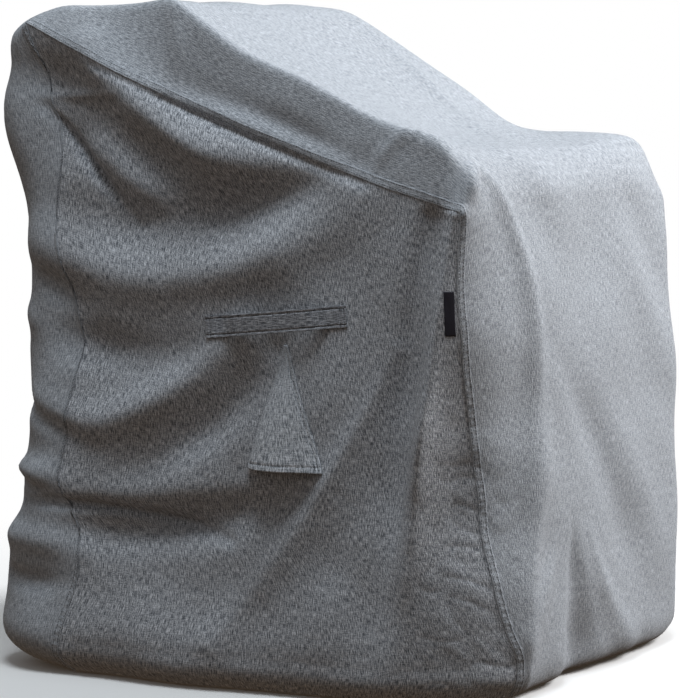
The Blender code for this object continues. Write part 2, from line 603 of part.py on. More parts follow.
def vent_sheet(name, sign, read, material, collection, steps=9, across=5):
    """Triangular hood sewn down along both slanting edges, open along its foot."""
    face = np.zeros((steps + 1, across + 1, 3))
    for i in range(steps + 1):
        share = 0.05 + 0.95 * i / steps
        rear = flat_line(VENT_APEX, VENT_REAR_FOOT, share)
        front = flat_line(VENT_APEX, VENT_FRONT_FOOT, share)
        for j in range(across + 1):
            y, z = flat_line(rear, front, j / across)
            stand = VENT_BOW * share ** 1.5 * np.sin(np.pi * j / across) ** 0.8
            x = read(y, z, VENT_READ) + SEWN_CLEARANCE + stand
            face[i, j] = (x * sign, y, z)
    direction = np.broadcast_to(np.array([sign, 0.0, 0.0]), face.shape)
    return sheet_solid(name, face, direction, VENT_THICK, material, collection)


def label_sheet(name, sign, read, material, collection, steps=6, across=5):
    """Small folded label that lies beside the front seam, left bare."""
    face = np.zeros((steps + 1, across + 1, 3))
    for i in range(steps + 1):
        middle = flat_line(LABEL_TOP, LABEL_FOOT, i / steps)
        for j in range(across + 1):
            y, z = middle[0] + (j / across) * LABEL_WIDTH, middle[1]
            face[i, j] = (sign * (read(y, z, LABEL_READ) + LABEL_CLEARANCE), y, z)
    direction = np.broadcast_to(np.array([sign, 0.0, 0.0]), face.shape)
    return sheet_solid(name, face, direction, LABEL_THICK, material, collection)


def build():
    for item in list(bpy.data.objects):
        bpy.data.objects.remove(item)
    cover = bpy.data.collections.new("stacking_chair_cover")
    bpy.context.scene.collection.children.link(cover)
    strip_cloth = new_material("woven_polyester_strip", (0.30, 0.32, 0.35), 0.85)
    side_cloth = new_material("woven_polyester_side", (0.26, 0.27, 0.29), 0.85)
    webbing = new_material("handle_webbing", (0.20, 0.21, 0.22), 0.80)
    hood_cloth = new_material("vent_cloth", (0.28, 0.30, 0.33), 0.85)
    label_cloth = new_material("label_satin", (0.02, 0.02, 0.03), 0.60)

    plain_left, plain_right = side_grid(-1), side_grid(1)
    strip = draped(strip_grid(plain_left, plain_right))
    left, right = draped(plain_left), draped(plain_right)
    strip_normal = grid_normals(strip, 1)
    left_normal, right_normal = grid_normals(left, 1), grid_normals(right, -1)
    mitre(strip, strip_normal, 0, left, left_normal)
    mitre(strip, strip_normal, -1, right, right_normal)

    sheet_solid("centre_strip", strip, -strip_normal, CLOTH_THICK, strip_cloth, cover)
    panels = {}
    for end, sign, grid, normal in (("left", -1, left, left_normal),
                                    ("right", 1, right, right_normal)):
        panels[end] = sheet_solid("side_panel_" + end, grid, -normal, CLOTH_THICK,
                                  side_cloth, cover)
        read = surface_reader(panels[end], sign)
        handle_sheet("handle_" + end, sign, read, webbing, cover)
        vent_sheet("vent_hood_" + end, sign, read, hood_cloth, cover)
    label_sheet("side_label", -1, surface_reader(panels["left"], -1), label_cloth, cover)


if __name__ == "__main__":
    build()
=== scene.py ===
"""Stacking chair cover in grey melange polyester: the look of every surface.

The cover hangs over a stack of armchairs that is left out. One strip of cloth runs up the
front, back over the arms and the backrest and down the rear, and a side panel with a
sloping top edge is sewn to it on each side with a felled, twice stitched seam. Metres,
+Z up, the low front towards -Y, the side with the label towards -X.
"""

import logging
import math
from dataclasses import dataclass, field
from enum import Enum

import bpy
import numpy as np
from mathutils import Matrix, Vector
from mathutils.bvhtree import BVHTree

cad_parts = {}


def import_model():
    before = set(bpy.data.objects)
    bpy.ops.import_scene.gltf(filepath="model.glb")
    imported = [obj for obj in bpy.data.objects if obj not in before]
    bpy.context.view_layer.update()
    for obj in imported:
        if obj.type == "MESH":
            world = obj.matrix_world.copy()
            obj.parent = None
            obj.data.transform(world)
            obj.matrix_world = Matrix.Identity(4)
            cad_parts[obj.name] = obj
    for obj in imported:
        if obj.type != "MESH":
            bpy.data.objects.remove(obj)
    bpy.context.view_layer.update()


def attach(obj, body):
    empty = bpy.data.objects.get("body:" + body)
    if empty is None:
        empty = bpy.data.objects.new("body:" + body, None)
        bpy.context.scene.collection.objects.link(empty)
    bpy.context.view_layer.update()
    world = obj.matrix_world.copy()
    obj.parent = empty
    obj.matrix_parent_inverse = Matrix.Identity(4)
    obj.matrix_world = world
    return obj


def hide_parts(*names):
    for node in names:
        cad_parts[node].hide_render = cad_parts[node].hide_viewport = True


log = logging.getLogger("chair_cover")
Array = np.ndarray
MM = 0.001

FRAME_SHIFT = (0.0016, 0.0003, 0.0)     # puts the origin at the middle of the footprint
FRONT_SEAM_TOP = 0.660                  # height of the sewn corner at the front of the arms
REAR_SEAM_TOP = 0.913
FRONT_SEAM_Y = -0.335
REAR_SEAM_Y = 0.342
SEAM_SAG = 0.018                        # how far the top seam hangs below a straight line
FRONT_BROW = 0.700                      # where the strip turns from the front to the top
REAR_BROW = 0.922
TURN_UNDER = 0.055                      # depth of the hem drawn in below the chairs
TURN_RISE = 0.012                       # how far its edge rises again there
SKEW = 0.016                            # the right front corner stands further forward
SKEW_DEPTH = 0.345                      # distance in front of the middle where it is that much
SEAM_X = 0.335                          # rough distance of the top seams from the middle
NEAR_CORNER_FLAT = 0.6                  # 1 would pull the near front corner quite straight
CORNER_FLAT_TOP = 0.37                  # height where that begins to fade out
CORNER_FLAT_FADE = 0.15                 # and the height over which it fades
ROUNDING = 0.016                        # softness of the ridges over the chairs' edges
NEAR_ROUNDING = 0.007                   # the same beside the left seam, where they are crisper
DENSE = 400                             # points of the curves that the grids are read from
CLOTH_THICK = 1.0 * MM
SEAT_GAP = 0.4 * MM                     # between a sewn-on piece and the panel


class Side(Enum):
    """The two side panels, with the sign of their X."""

    LEFT = -1
    RIGHT = 1


class Face(Enum):
    """The faces of the cover that folds are placed on."""

    LEFT = "left"
    RIGHT = "right"
    FRONT = "front"
    REAR = "rear"
    TOP = "top"


@dataclass(frozen=True)
class CurveTable:
    """Rows of numbers with named columns, read between rows along a smooth curve."""

    columns: str
    rows: tuple[tuple[float, ...], ...]

    def at(self, column: str, key: Array | float) -> Array:
        """Read one column.

        Args:
            column: Name of the column.
            key: Where to read, in the terms of the first column.

        Returns:
            The column's value at each key.
        """
        table = np.array(self.rows)
        keys, value = table[:, 0], table[:, self.columns.split().index(column)]
        slope = np.gradient(value, keys)
        key = np.clip(key, keys[0], keys[-1])
        i = np.clip(np.searchsorted(keys, key) - 1, 0, len(keys) - 2)
        step = keys[i + 1] - keys[i]
        t = (key - keys[i]) / step
        blend = 3 * t ** 2 - 2 * t ** 3
        bend = (t ** 3 - 2 * t ** 2 + t) * slope[i] + (t ** 3 - t ** 2) * slope[i + 1]
        return (1 - blend) * value[i] + blend * value[i + 1] + bend * step


WALLS = CurveTable(
    "height left right front rear fl_run fl_deep fr_run rl_run rr_run", (
        (0.00, 0.346, 0.345, 0.379, 0.372, 0.120, 0.150, 0.130, 0.120, 0.120),
        (0.02, 0.363, 0.360, 0.391, 0.391, 0.130, 0.156, 0.130, 0.120, 0.120),
        (0.05, 0.366, 0.366, 0.393, 0.398, 0.130, 0.157, 0.130, 0.110, 0.120),
        (0.11, 0.366, 0.366, 0.394, 0.405, 0.130, 0.157, 0.130, 0.100, 0.120),
        (0.25, 0.360, 0.362, 0.390, 0.382, 0.160, 0.130, 0.120, 0.090, 0.110),
        (0.36, 0.353, 0.355, 0.386, 0.362, 0.185, 0.100, 0.100, 0.080, 0.100),
        (0.48, 0.346, 0.348, 0.379, 0.366, 0.205, 0.070, 0.090, 0.080, 0.090),
        (0.56, 0.341, 0.342, 0.369, 0.359, 0.180, 0.050, 0.070, 0.080, 0.080),
        (0.62, 0.338, 0.340, 0.359, 0.357, 0.120, 0.028, 0.050, 0.070, 0.080),
        (0.66, 0.337, 0.338, 0.352, 0.373, 0.060, 0.012, 0.032, 0.070, 0.080),
        (0.80, 0.335, 0.336, 0.344, 0.407, 0.026, 0.013, 0.030, 0.050, 0.060),
        (0.95, 0.333, 0.334, 0.340, 0.370, 0.030, 0.020, 0.040, 0.030, 0.050)))

SEAMS = CurveTable(
    "height front_left front_right rear_left rear_right", (
        (0.000, 33.8, 38.0, 126.0, 128.0),
        (0.050, 33.7, 39.0, 125.5, 127.5),
        (0.090, 35.6, 39.0, 124.6, 127.0),
        (0.140, 37.5, 40.0, 123.4, 127.0),
        (0.210, 39.2, 41.0, 124.0, 127.0),
        (0.260, 39.8, 42.0, 126.7, 127.5),
        (0.360, 41.9, 43.0, 126.6, 128.0),
        (0.480, 44.5, 44.0, 125.8, 128.5),
        (0.560, 45.4, 44.5, 128.0, 129.5),
        (0.660, 45.2, 44.8, 130.6, 131.0),
        (0.750, 45.2, 44.8, 130.6, 132.0),
        (0.800, 45.2, 44.8, 132.4, 133.0),
        (0.913, 45.2, 44.8, 135.6, 135.6)))

DECK = CurveTable(
    "depth left_x left_z mid_z right_z right_x", (
        (-0.345, 0.332, 0.712, 0.702, 0.716, 0.332),
        (-0.320, 0.330, 0.741, 0.729, 0.744, 0.324),
        (-0.269, 0.327, 0.757, 0.741, 0.751, 0.300),
        (-0.200, 0.322, 0.784, 0.756, 0.756, 0.268),
        (-0.134, 0.318, 0.813, 0.785, 0.775, 0.254),
        (-0.060, 0.318, 0.845, 0.824, 0.828, 0.248),
        (+0.005, 0.318, 0.874, 0.864, 0.870, 0.245),
        (+0.070, 0.314, 0.912, 0.903, 0.909, 0.242),
        (+0.124, 0.300, 0.940, 0.937, 0.938, 0.242),
        (+0.180, 0.290, 0.941, 0.944, 0.945, 0.248),
        (+0.260, 0.295, 0.935, 0.936, 0.940, 0.270),
        (+0.330, 0.310, 0.928, 0.924, 0.928, 0.296),
        (+0.360, 0.318, 0.905, 0.900, 0.905, 0.305)))


@dataclass(frozen=True)
class Fold:
    """One soft fold, drawn on a face.

    Places are (y, z) on the left and right faces, (x, z) on the front and rear and (x, y)
    on the top. Lift is in millimetres at the start, middle and end, outwards or, below
    zero, inwards. Width is in millimetres at both ends. Crisp runs from 0, a soft wave, to
    1, a sharp crease.
    """

    name: str
    face: Face
    start: tuple[float, float]
    middle: tuple[float, float]
    end: tuple[float, float]
    lift: tuple[float, float, float]
    width: tuple[float, float]
    crisp: float = 0.0


LEFT, RIGHT, FRONT, REAR, TOP = Face
FOLDS = tuple(Fold(*row) for row in (
    ("bulge under the top seam", LEFT, (0.240, 0.880), (0.084, 0.752), (-0.140, 0.710),
     (16, 28, 8), (30, 36), 0),
    ("valley above the swag", LEFT, (0.300, 0.662), (0.090, 0.642), (-0.190, 0.724),
     (-3, -19, -3), (38, 26), 0.1),
    ("swag", LEFT, (0.320, 0.607), (0.050, 0.566), (-0.240, 0.712),
     (10, 23, 3), (38, 42), 0),
    ("drag crease", LEFT, (0.322, 0.796), (0.236, 0.716), (0.160, 0.632),
     (-7, -18, -4), (8, 9), 0.5),
    ("drag ridge", LEFT, (0.255, 0.770), (0.172, 0.700), (0.100, 0.642),
     (3, 12, 4), (20, 26), 0),
    ("drag trough", LEFT, (0.186, 0.798), (0.112, 0.723), (0.030, 0.655),
     (-6, -14, -3), (28, 32), 0),
    ("trough under the swag", LEFT, (0.340, 0.500), (0.225, 0.462), (0.090, 0.458),
     (-5, -22, -4), (34, 28), 0),
    ("shelf left of the handle", LEFT, (0.095, 0.500), (0.050, 0.500), (-0.010, 0.508),
     (3, 8, 3), (34, 34), 0),
    ("middle ridge", LEFT, (0.315, 0.368), (0.165, 0.370), (-0.012, 0.487),
     (12, 21, 9), (34, 26), 0),
    ("middle trough", LEFT, (0.175, 0.292), (0.050, 0.348), (-0.060, 0.460),
     (-4, -14, -9), (24, 28), 0),
    ("middle bulge", LEFT, (0.160, 0.290), (0.070, 0.300), (0.000, 0.330),
     (5, 12, 5), (56, 54), 0),
    ("deep trough", LEFT, (0.335, 0.214), (0.150, 0.210), (-0.110, 0.266),
     (-2, -25, -6), (26, 30), 0.1),
    ("crease under the lip", LEFT, (0.365, 0.236), (0.170, 0.236), (0.000, 0.205),
     (-7, -19, -5), (7, 10), 0.3),
    ("lip over the deep trough", LEFT, (0.310, 0.268), (0.110, 0.262), (-0.090, 0.296),
     (3, 4, 2), (24, 20), 0),
    ("belly", LEFT, (0.280, 0.050), (0.090, 0.040), (-0.080, 0.040),
     (10, 25, 9), (75, 75), 0),
    ("slanting ridge", LEFT, (-0.245, 0.475), (-0.140, 0.280), (0.015, 0.065),
     (3, 10, 7), (14, 30), 0.35),
    ("slanting trough", LEFT, (-0.240, 0.400), (-0.190, 0.250), (-0.080, 0.060),
     (-1, -5, -1), (24, 40), 0),
    ("trough beside the corner", LEFT, (-0.292, 0.650), (-0.257, 0.410), (-0.224, 0.040),
     (-12, -18, -2), (15, 40), 0),
    ("corner ridge", LEFT, (-0.324, 0.655), (-0.292, 0.415), (-0.250, 0.050),
     (11, 19, 3), (11, 24), 0.6),
    ("crease beside the corner ridge", LEFT, (-0.313, 0.650), (-0.279, 0.445),
     (-0.236, 0.080), (-4, -8, 0), (9, 20), 0.5),
    ("hollow of the corner", FRONT, (-0.330, 0.440), (-0.314, 0.320), (-0.320, 0.160),
     (-1, -7, -2), (30, 44), 0),
    ("lift towards the corner", LEFT, (-0.110, 0.185), (-0.160, 0.110), (-0.190, 0.030),
     (2, 6, 4), (40, 50), 0),
    ("nip under the top seam", LEFT, (0.225, 0.852), (0.040, 0.776), (-0.190, 0.696),
     (-2, -9, -4), (5, 8), 0.3),
    ("overhang at the rear", LEFT, (0.392, 0.848), (0.318, 0.836), (0.240, 0.800),
     (-10, -21, -6), (36, 42), 0),
    ("recess under the overhang", LEFT, (0.330, 0.780), (0.270, 0.758), (0.205, 0.735),
     (-4, -12, -6), (36, 44), 0),
    ("crimp in the overhang", LEFT, (0.330, 0.811), (0.265, 0.811), (0.195, 0.812),
     (2, 4, 2), (7, 8), 0.3),
    ("rear buckle 1", LEFT, (0.335, 0.565), (0.300, 0.548), (0.250, 0.525),
     (-6, -14, -6), (16, 24), 0),
    ("rear swell 1", LEFT, (0.345, 0.502), (0.305, 0.478), (0.260, 0.460),
     (10, 6, 2), (22, 30), 0),
    ("rear buckle 2", LEFT, (0.350, 0.385), (0.300, 0.355), (0.215, 0.322),
     (-12, -13, -4), (14, 18), 0.3),
    ("rear swell 2", LEFT, (0.350, 0.284), (0.300, 0.280), (0.260, 0.280),
     (12, 11, 3), (13, 28), 0),
    ("rear buckle 3", LEFT, (0.360, 0.258), (0.315, 0.256), (0.275, 0.255),
     (-5, -8, -2), (10, 10), 0.3),
    ("rear swell 3", LEFT, (0.365, 0.190), (0.305, 0.185), (0.240, 0.180),
     (12, 11, 3), (22, 24), 0),
    ("rear buckle 4", LEFT, (0.375, 0.128), (0.320, 0.126), (0.262, 0.128),
     (-12, -12, -2), (14, 16), 0.3),
    ("rear swell 4", LEFT, (0.380, 0.045), (0.310, 0.042), (0.235, 0.055),
     (13, 14, 6), (38, 44), 0),
    ("corner of the brow", FRONT, (-0.300, 0.735), (-0.318, 0.698), (-0.335, 0.664),
     (12, 16, 3), (12, 14), 0.4),
    ("fall from the arm's corner", FRONT, (-0.278, 0.722), (-0.190, 0.500),
     (-0.235, 0.140), (6, 9, 3), (16, 32), 0.2),
    ("front valley", FRONT, (-0.155, 0.480), (0.000, 0.300), (0.130, 0.090),
     (-1, -4, -2), (20, 44), 0),
    ("front crest", FRONT, (-0.075, 0.465), (0.050, 0.335), (0.170, 0.155),
     (1, 5, 2), (34, 48), 0),
    ("pointed fold", FRONT, (-0.104, 0.232), (-0.092, 0.135), (-0.070, 0.035),
     (-1, -12, -22), (7, 46), 0.1),
    ("right lip of the point", FRONT, (-0.050, 0.205), (0.000, 0.115), (0.095, 0.020),
     (1, 5, 7), (12, 30), 0),
    ("left lip of the point", FRONT, (-0.145, 0.205), (-0.190, 0.140), (-0.235, 0.080),
     (1, 5, 6), (12, 30), 0),
    ("slanting fold on top", TOP, (0.198, 0.112), (0.140, -0.045), (0.005, -0.245),
     (3, 8, 2), (18, 26), 0.2),
    ("fall from the backrest", TOP, (-0.290, 0.130), (-0.315, 0.105), (-0.332, 0.110),
     (3, 7, 2), (14, 20), 0.2),
    ("hollow below the ridge", TOP, (-0.330, 0.075), (-0.330, -0.065), (-0.333, -0.200),
     (-2, -8, -3), (20, 18), 0),
    ("ridge over the arm", TOP, (-0.305, 0.100), (-0.306, -0.080), (-0.312, -0.290),
     (2, 4, 4), (13, 11), 0.3),
    ("tuck over the arm's corner", TOP, (-0.334, -0.200), (-0.322, -0.255), (-0.308, -0.300),
     (2, 6, 4), (9, 12), 0.4),
    ("roll over the top seam", TOP, (-0.333, 0.140), (-0.333, -0.010), (-0.333, -0.160),
     (1, 6, 2), (8, 8), 0.2),
    ("right bulge under the seam", RIGHT, (0.240, 0.850), (0.060, 0.760), (-0.200, 0.690),
     (4, 18, 6), (45, 40), 0),
    ("right valley", RIGHT, (0.280, 0.620), (0.050, 0.560), (-0.250, 0.620),
     (-6, -15, -5), (45, 38), 0.1),
    ("right swag", RIGHT, (0.290, 0.530), (0.060, 0.470), (-0.270, 0.560),
     (6, 17, 6), (46, 40), 0),
    ("right drag ridge", RIGHT, (-0.290, 0.610), (-0.160, 0.400), (0.090, 0.200),
     (2, 11, 4), (20, 34), 0.2),
    ("right low trough", RIGHT, (0.350, 0.240), (0.110, 0.210), (-0.120, 0.270),
     (-10, -20, -4), (30, 36), 0.2),
    ("right belly", RIGHT, (0.260, 0.100), (0.020, 0.100), (-0.180, 0.120),
     (6, 16, 6), (70, 80), 0),
    ("right rear buckle", RIGHT, (0.360, 0.400), (0.310, 0.405), (0.250, 0.395),
     (-10, -10, -2), (16, 18), 0.3),
    ("rear hollow", REAR, (-0.260, 0.780), (0.000, 0.690), (0.260, 0.770),
     (-5, -14, -5), (60, 60), 0),
    ("rear swag", REAR, (-0.300, 0.580), (0.020, 0.470), (0.300, 0.590),
     (6, 15, 6), (50, 52), 0),
    ("rear low trough", REAR, (-0.330, 0.225), (0.000, 0.250), (0.320, 0.230),
     (-8, -16, -8), (34, 36), 0.2),
    ("rear upright ridge", REAR, (0.120, 0.400), (0.100, 0.220), (0.130, 0.040),
     (0, 9, 10), (24, 40), 0.1),
))


def ease(t: Array | float) -> Array:
    """Go smoothly from 0 to 1 as t does."""
    t = np.clip(t, 0, 1)
    return t * t * (3 - 2 * t)


def unit(vectors: Array) -> Array:
    """Scale vectors to length one."""
    return vectors / (np.linalg.norm(vectors, axis=-1, keepdims=True) + 1e-12)


def lengths_along(points: Array) -> Array:
    """Return the distance from the first point of a line to each of its points."""
    return np.r_[0, np.cumsum(np.linalg.norm(np.diff(points, axis=0), axis=1))]


def read_line(points: Array, steps: Array) -> Array:
    """Read a line of points at shares of its length.

    Args:
        points: The line.
        steps: Shares of its length, from 0 to 1.

    Returns:
        One point for each step.
    """
    length = lengths_along(points)
    return np.stack([np.interp(steps * length[-1], length, points[:, k])
                     for k in range(points.shape[1])], -1)


def soften(values: Array, sigma: float) -> Array:
    """Round the corners of a line of values over sigma steps, its two ends kept.

    Args:
        values: The values.
        sigma: How far the rounding reaches, in steps.

    Returns:
        The softer values, as many as there were.
    """
    reach = int(3 * sigma)
    weights = np.exp(-0.5 * (np.arange(-reach, reach + 1) / sigma) ** 2)
    weights /= weights.sum()
    before = 2 * values[0] - values[reach:0:-1]
    after = 2 * values[-1] - values[-2:-reach - 2:-1]
    return np.convolve(np.r_[before, values, after], weights, "valid")


@dataclass(frozen=True)
class Rows:
    """Rows of a wall from its turned hem up to the seam."""

    turned: int
    rising: int

    @property
    def count(self) -> int:
        """Number of rows."""
        return self.turned + self.rising

    def share(self, row: int) -> tuple[float, float]:
        """Return a row's share of the height, and how far under the hem it lies.

        Args:
            row: Its number, from the turned edge up.

        Returns:
            Both shares, from 0 to 1.
        """
        if row < self.turned:
            return 0.0, 1 - row / self.turned
        return (row - self.turned) / (self.rising - 1), 0.0


class PlainForm:
    """The cover without its folds, as it would stretch over the chairs."""

    BROW_RUN = 0.2                      # share of a row over which the brow rises from a seam
    BETWEEN = 0.45                      # place of a point between the middle and a ridge
    RIDGE_SHARE = 0.3                   # share of the ridge's height in that point's height
    SETTLE = 5                          # rounds in which a row finds its height
    NEAR_SHARE = 0.2                    # share of a row that is rounded as beside the left seam
    NEAR_FADE = 0.1                     # and the share over which that ends
    SEAM_FREE = 0.05                    # share of a row over which the softening sets in
    FACE_HALF = 1.1                     # radians from a face's middle where places are sought
    DECK_FRONT = 0.745                  # rough height of the top in front
    DECK_GAIN = 0.200                   # how much higher it is at the rear
    DECK_START = -0.30                  # depth where it begins to climb
    DECK_RUN = 0.45                     # and the depth that the climb takes
    WALL_TOP = 0.15                     # height up to which folds rise from the walls only
    CREST_X = 0.345                     # half width where a side wall counts in full
    CREST_Y = 0.365                     # half depth where the front or rear wall does
    WALL_POWER = 7                      # how suddenly a wall comes to count
    TOP_POWER = 15.4                    # and how suddenly the top does
    WALL_MOST = 1.3                     # largest share of the way that is counted, for a wall
    TOP_MOST = 1.1                      # and for the top

    def seam_height(self, y: Array) -> Array:
        """Return the height of the sloping top seam at depth y.

        Args:
            y: The depth, below 0 in front.

        Returns:
            The height, in metres.
        """
        share = np.clip((y - FRONT_SEAM_Y) / (REAR_SEAM_Y - FRONT_SEAM_Y), 0, 1)
        straight = FRONT_SEAM_TOP + (REAR_SEAM_TOP - FRONT_SEAM_TOP) * share
        return straight - 4 * SEAM_SAG * share * (1 - share)

    def wall_point(self, bearing: Array, z: Array) -> Array:
        """Find points of the rounded walls.

        Args:
            bearing: Directions in radians, 0 straight ahead and below 0 to the left.
            z: Heights.

        Returns:
            The points at those heights in those directions.
        """
        across, along = np.sin(bearing), -np.cos(bearing)
        left, front = across < 0, along < 0
        reach_x = np.where(left, WALLS.at("left", z), WALLS.at("right", z))
        reach_y = np.where(front, WALLS.at("front", z), WALLS.at("rear", z))
        front_run = np.where(left, WALLS.at("fl_run", z), WALLS.at("fr_run", z))
        rear_run = np.where(left, WALLS.at("rl_run", z), WALLS.at("rr_run", z))
        run_x = np.where(front, front_run, rear_run)
        run_y = np.where(front & left, WALLS.at("fl_deep", z), run_x)
        c, s = np.maximum(abs(across), 1e-9), np.maximum(abs(along), 1e-9)
        flat = np.minimum(reach_x / c, reach_y / s)
        centre_x, centre_y = reach_x - run_x, reach_y - run_y
        a = (c / run_x) ** 2 + (s / run_y) ** 2
        b = c * centre_x / run_x ** 2 + s * centre_y / run_y ** 2
        q = (centre_x / run_x) ** 2 + (centre_y / run_y) ** 2 - 1
        arc = (b + np.sqrt(np.maximum(b * b - a * q, 0))) / a
        chord = (1 + centre_x / run_x + centre_y / run_y) / (c / run_x + s / run_y)
        round_again = ease((z - CORNER_FLAT_TOP) / CORNER_FLAT_FADE)
        straight = NEAR_CORNER_FLAT * (1 - round_again) * (front & left)
        arc = arc * (1 - straight) + chord * straight
        in_corner = (flat * c > centre_x) & (flat * s > centre_y)
        radius = np.where(in_corner, arc, flat)
        return np.stack([radius * across, radius * along, z + 0 * radius], -1)

    def turned_under(self, points: Array, share: float) -> Array:
        """Draw a row in below the hem by a share of the hem's depth.

        Args:
            points: The row.
            share: 0 leaves it, 1 draws it in by the whole depth.

        Returns:
            The row drawn in.
        """
        moved = points.copy()
        moved[..., :2] -= unit(points[..., :2]) * TURN_UNDER * share
        moved[..., 2] += TURN_RISE * share ** 2
        return moved

    def side_row(self, side: Side, height: float, under: float) -> Array:
        """Return a side panel's row at a share of the height, rear seam to front seam.

        Args:
            side: Which of the two.
            height: The share of the height, from 0 to 1.
            under: How far under the hem it lies, from 0 to 1.

        Returns:
            Points from the rear seam to the front seam.
        """
        end = side.name.lower()
        front = np.radians(SEAMS.at("front_" + end, height * FRONT_SEAM_TOP)) * side.value
        rear = np.radians(SEAMS.at("rear_" + end, height * REAR_SEAM_TOP)) * side.value
        bearing = np.linspace(rear, front, DENSE)
        z = np.full(DENSE, height * (FRONT_SEAM_TOP + REAR_SEAM_TOP) / 2)
        for _ in range(self.SETTLE):
            z = height * self.seam_height(self.wall_point(bearing, z)[:, 1])
        return self.turned_under(self.wall_point(bearing, z), under)

    def side_grid(self, side: Side, rows: Rows, steps: Array) -> Array:
        """Build a side panel.

        Args:
            side: Which of the two.
            rows: Its rows from the hem up.
            steps: Shares of each row's length, from the rear seam to the front seam.

        Returns:
            Points as rows by columns by 3.
        """
        return np.array([read_line(self.side_row(side, *rows.share(k)), steps)
                         for k in range(rows.count)])

    def end_row(self, share: tuple[float, float], ends: tuple[Array, Array], rear: bool,
                steps: Array) -> Array:
        """Build a row across the front or the rear wall.

        Args:
            share: The row's share of the height, and of the turned hem.
            ends: Its points on the left and right seams.
            rear: Whether it is on the rear wall.
            steps: Shares of its length, left to right.

        Returns:
            One point for each step.
        """
        height, under = share
        end = "rear" if rear else "front"
        seam_top = REAR_SEAM_TOP if rear else FRONT_SEAM_TOP
        brow = REAR_BROW if rear else FRONT_BROW
        first = -np.radians(SEAMS.at(end + "_left", height * seam_top))
        last = np.radians(SEAMS.at(end + "_right", height * seam_top))
        bearing = np.linspace(first, last - 2 * np.pi if rear else last, DENSE)
        u = np.linspace(0, 1, DENSE)
        rise = 1 - (1 - np.clip(np.minimum(u, 1 - u) / self.BROW_RUN, 0, 1)) ** 2
        z = height * seam_top + height ** 2 * (brow - seam_top) * rise
        line = self.turned_under(self.wall_point(bearing, z), under)
        line[0], line[-1] = ends
        return read_line(line, steps)

    def deck_row(self, left: Array, right: Array, steps: Array) -> Array:
        """Build a row over the top.

        Args:
            left: Its point on the left seam.
            right: Its point on the right seam.
            steps: Shares of its length, left to right.

        Returns:
            One point for each step.
        """
        depth = (left[1] + right[1]) / 2
        left_x, left_z, mid_z, right_z, right_x = (
            float(DECK.at(name, depth)) for name in DECK.columns.split()[1:])
        x = np.array([left[0], -left_x, -self.BETWEEN * left_x, 0,
                      self.BETWEEN * right_x, right_x, right[0]])
        between = [self.RIDGE_SHARE * ridge_z + (1 - self.RIDGE_SHARE) * mid_z
                   for ridge_z in (left_z, right_z)]
        z = np.array([left[2], left_z, between[0], mid_z, between[1], right_z, right[2]])
        length = np.r_[0, np.cumsum(np.hypot(np.diff(x), np.diff(z)))]
        even = np.linspace(0, length[-1], DENSE)
        steps_a_metre = DENSE / length[-1]
        line = np.zeros((DENSE, 3))
        far = ease((even / length[-1] - self.NEAR_SHARE) / self.NEAR_FADE)
        for axis, places in ((0, x), (2, z)):
            values = np.interp(even, length, places)
            line[:, axis] = (soften(values, NEAR_ROUNDING * steps_a_metre) * (1 - far)
                             + soften(values, ROUNDING * steps_a_metre) * far)
        line[0], line[-1] = left, right
        line[[0, -1], 1] = 0
        points = read_line(line, steps)
        points[:, 1] = left[1] + (right[1] - left[1]) * steps
        return points

    def strip_grid(self, walls: Rows, deck_rows: int, steps: Array) -> Array:
        """Build the strip from the front hem over the top to the rear hem.

        Args:
            walls: Rows of the front wall, and of the rear one.
            deck_rows: Number of rows over the top.
            steps: Shares of each row's length, left to right.

        Returns:
            Points as rows by columns by 3.
        """
        sides = [[self.side_row(side, *walls.share(k)) for k in range(walls.count)]
                 for side in Side]
        inner = np.linspace(1, 0, deck_rows + 2)[1:-1]
        tops = [read_line(rows[-1], inner) for rows in sides]
        left, right = sides
        grid = [self.end_row(walls.share(k), (left[k][-1], right[k][-1]), False, steps)
                for k in range(walls.count)]
        grid += [self.deck_row(a, b, steps) for a, b in zip(*tops)]
        grid += [self.end_row(walls.share(k), (left[k][0], right[k][0]), True, steps)
                 for k in reversed(range(walls.count))]
        return self.rounded_brows(np.array(grid), steps)

    def rounded_brows(self, grid: Array, steps: Array) -> Array:
        """Soften the strip along its length, its seams kept where they are.

        Args:
            grid: Points as rows by columns by 3.
            steps: Shares of each row's length, left to right.

        Returns:
            The softer points.
        """
        step = np.linalg.norm(np.diff(grid, axis=0), axis=-1).mean()
        free = np.clip(np.minimum(steps, 1 - steps) / self.SEAM_FREE, 0, 1)[None, :, None]
        for _ in range(round(2 * (ROUNDING / step) ** 2)):
            soft = grid.copy()
            soft[1:-1] = 0.5 * grid[1:-1] + 0.25 * (grid[:-2] + grid[2:])
            grid = grid + (soft - grid) * free
        return grid

    def skewed(self, points: Array) -> Array:
        """Bring the right front corner forward, as the cover sits slightly turned.

        Args:
            points: Points of the form.

        Returns:
            The points moved.
        """
        moved = points.copy()
        front = np.clip(-points[..., 1] / SKEW_DEPTH, 0, 1.2) ** 2
        turn = np.clip(points[..., 0] / SEAM_X + 1, 0, 2.2) / 2
        moved[..., 1] -= SKEW * turn * front
        return moved

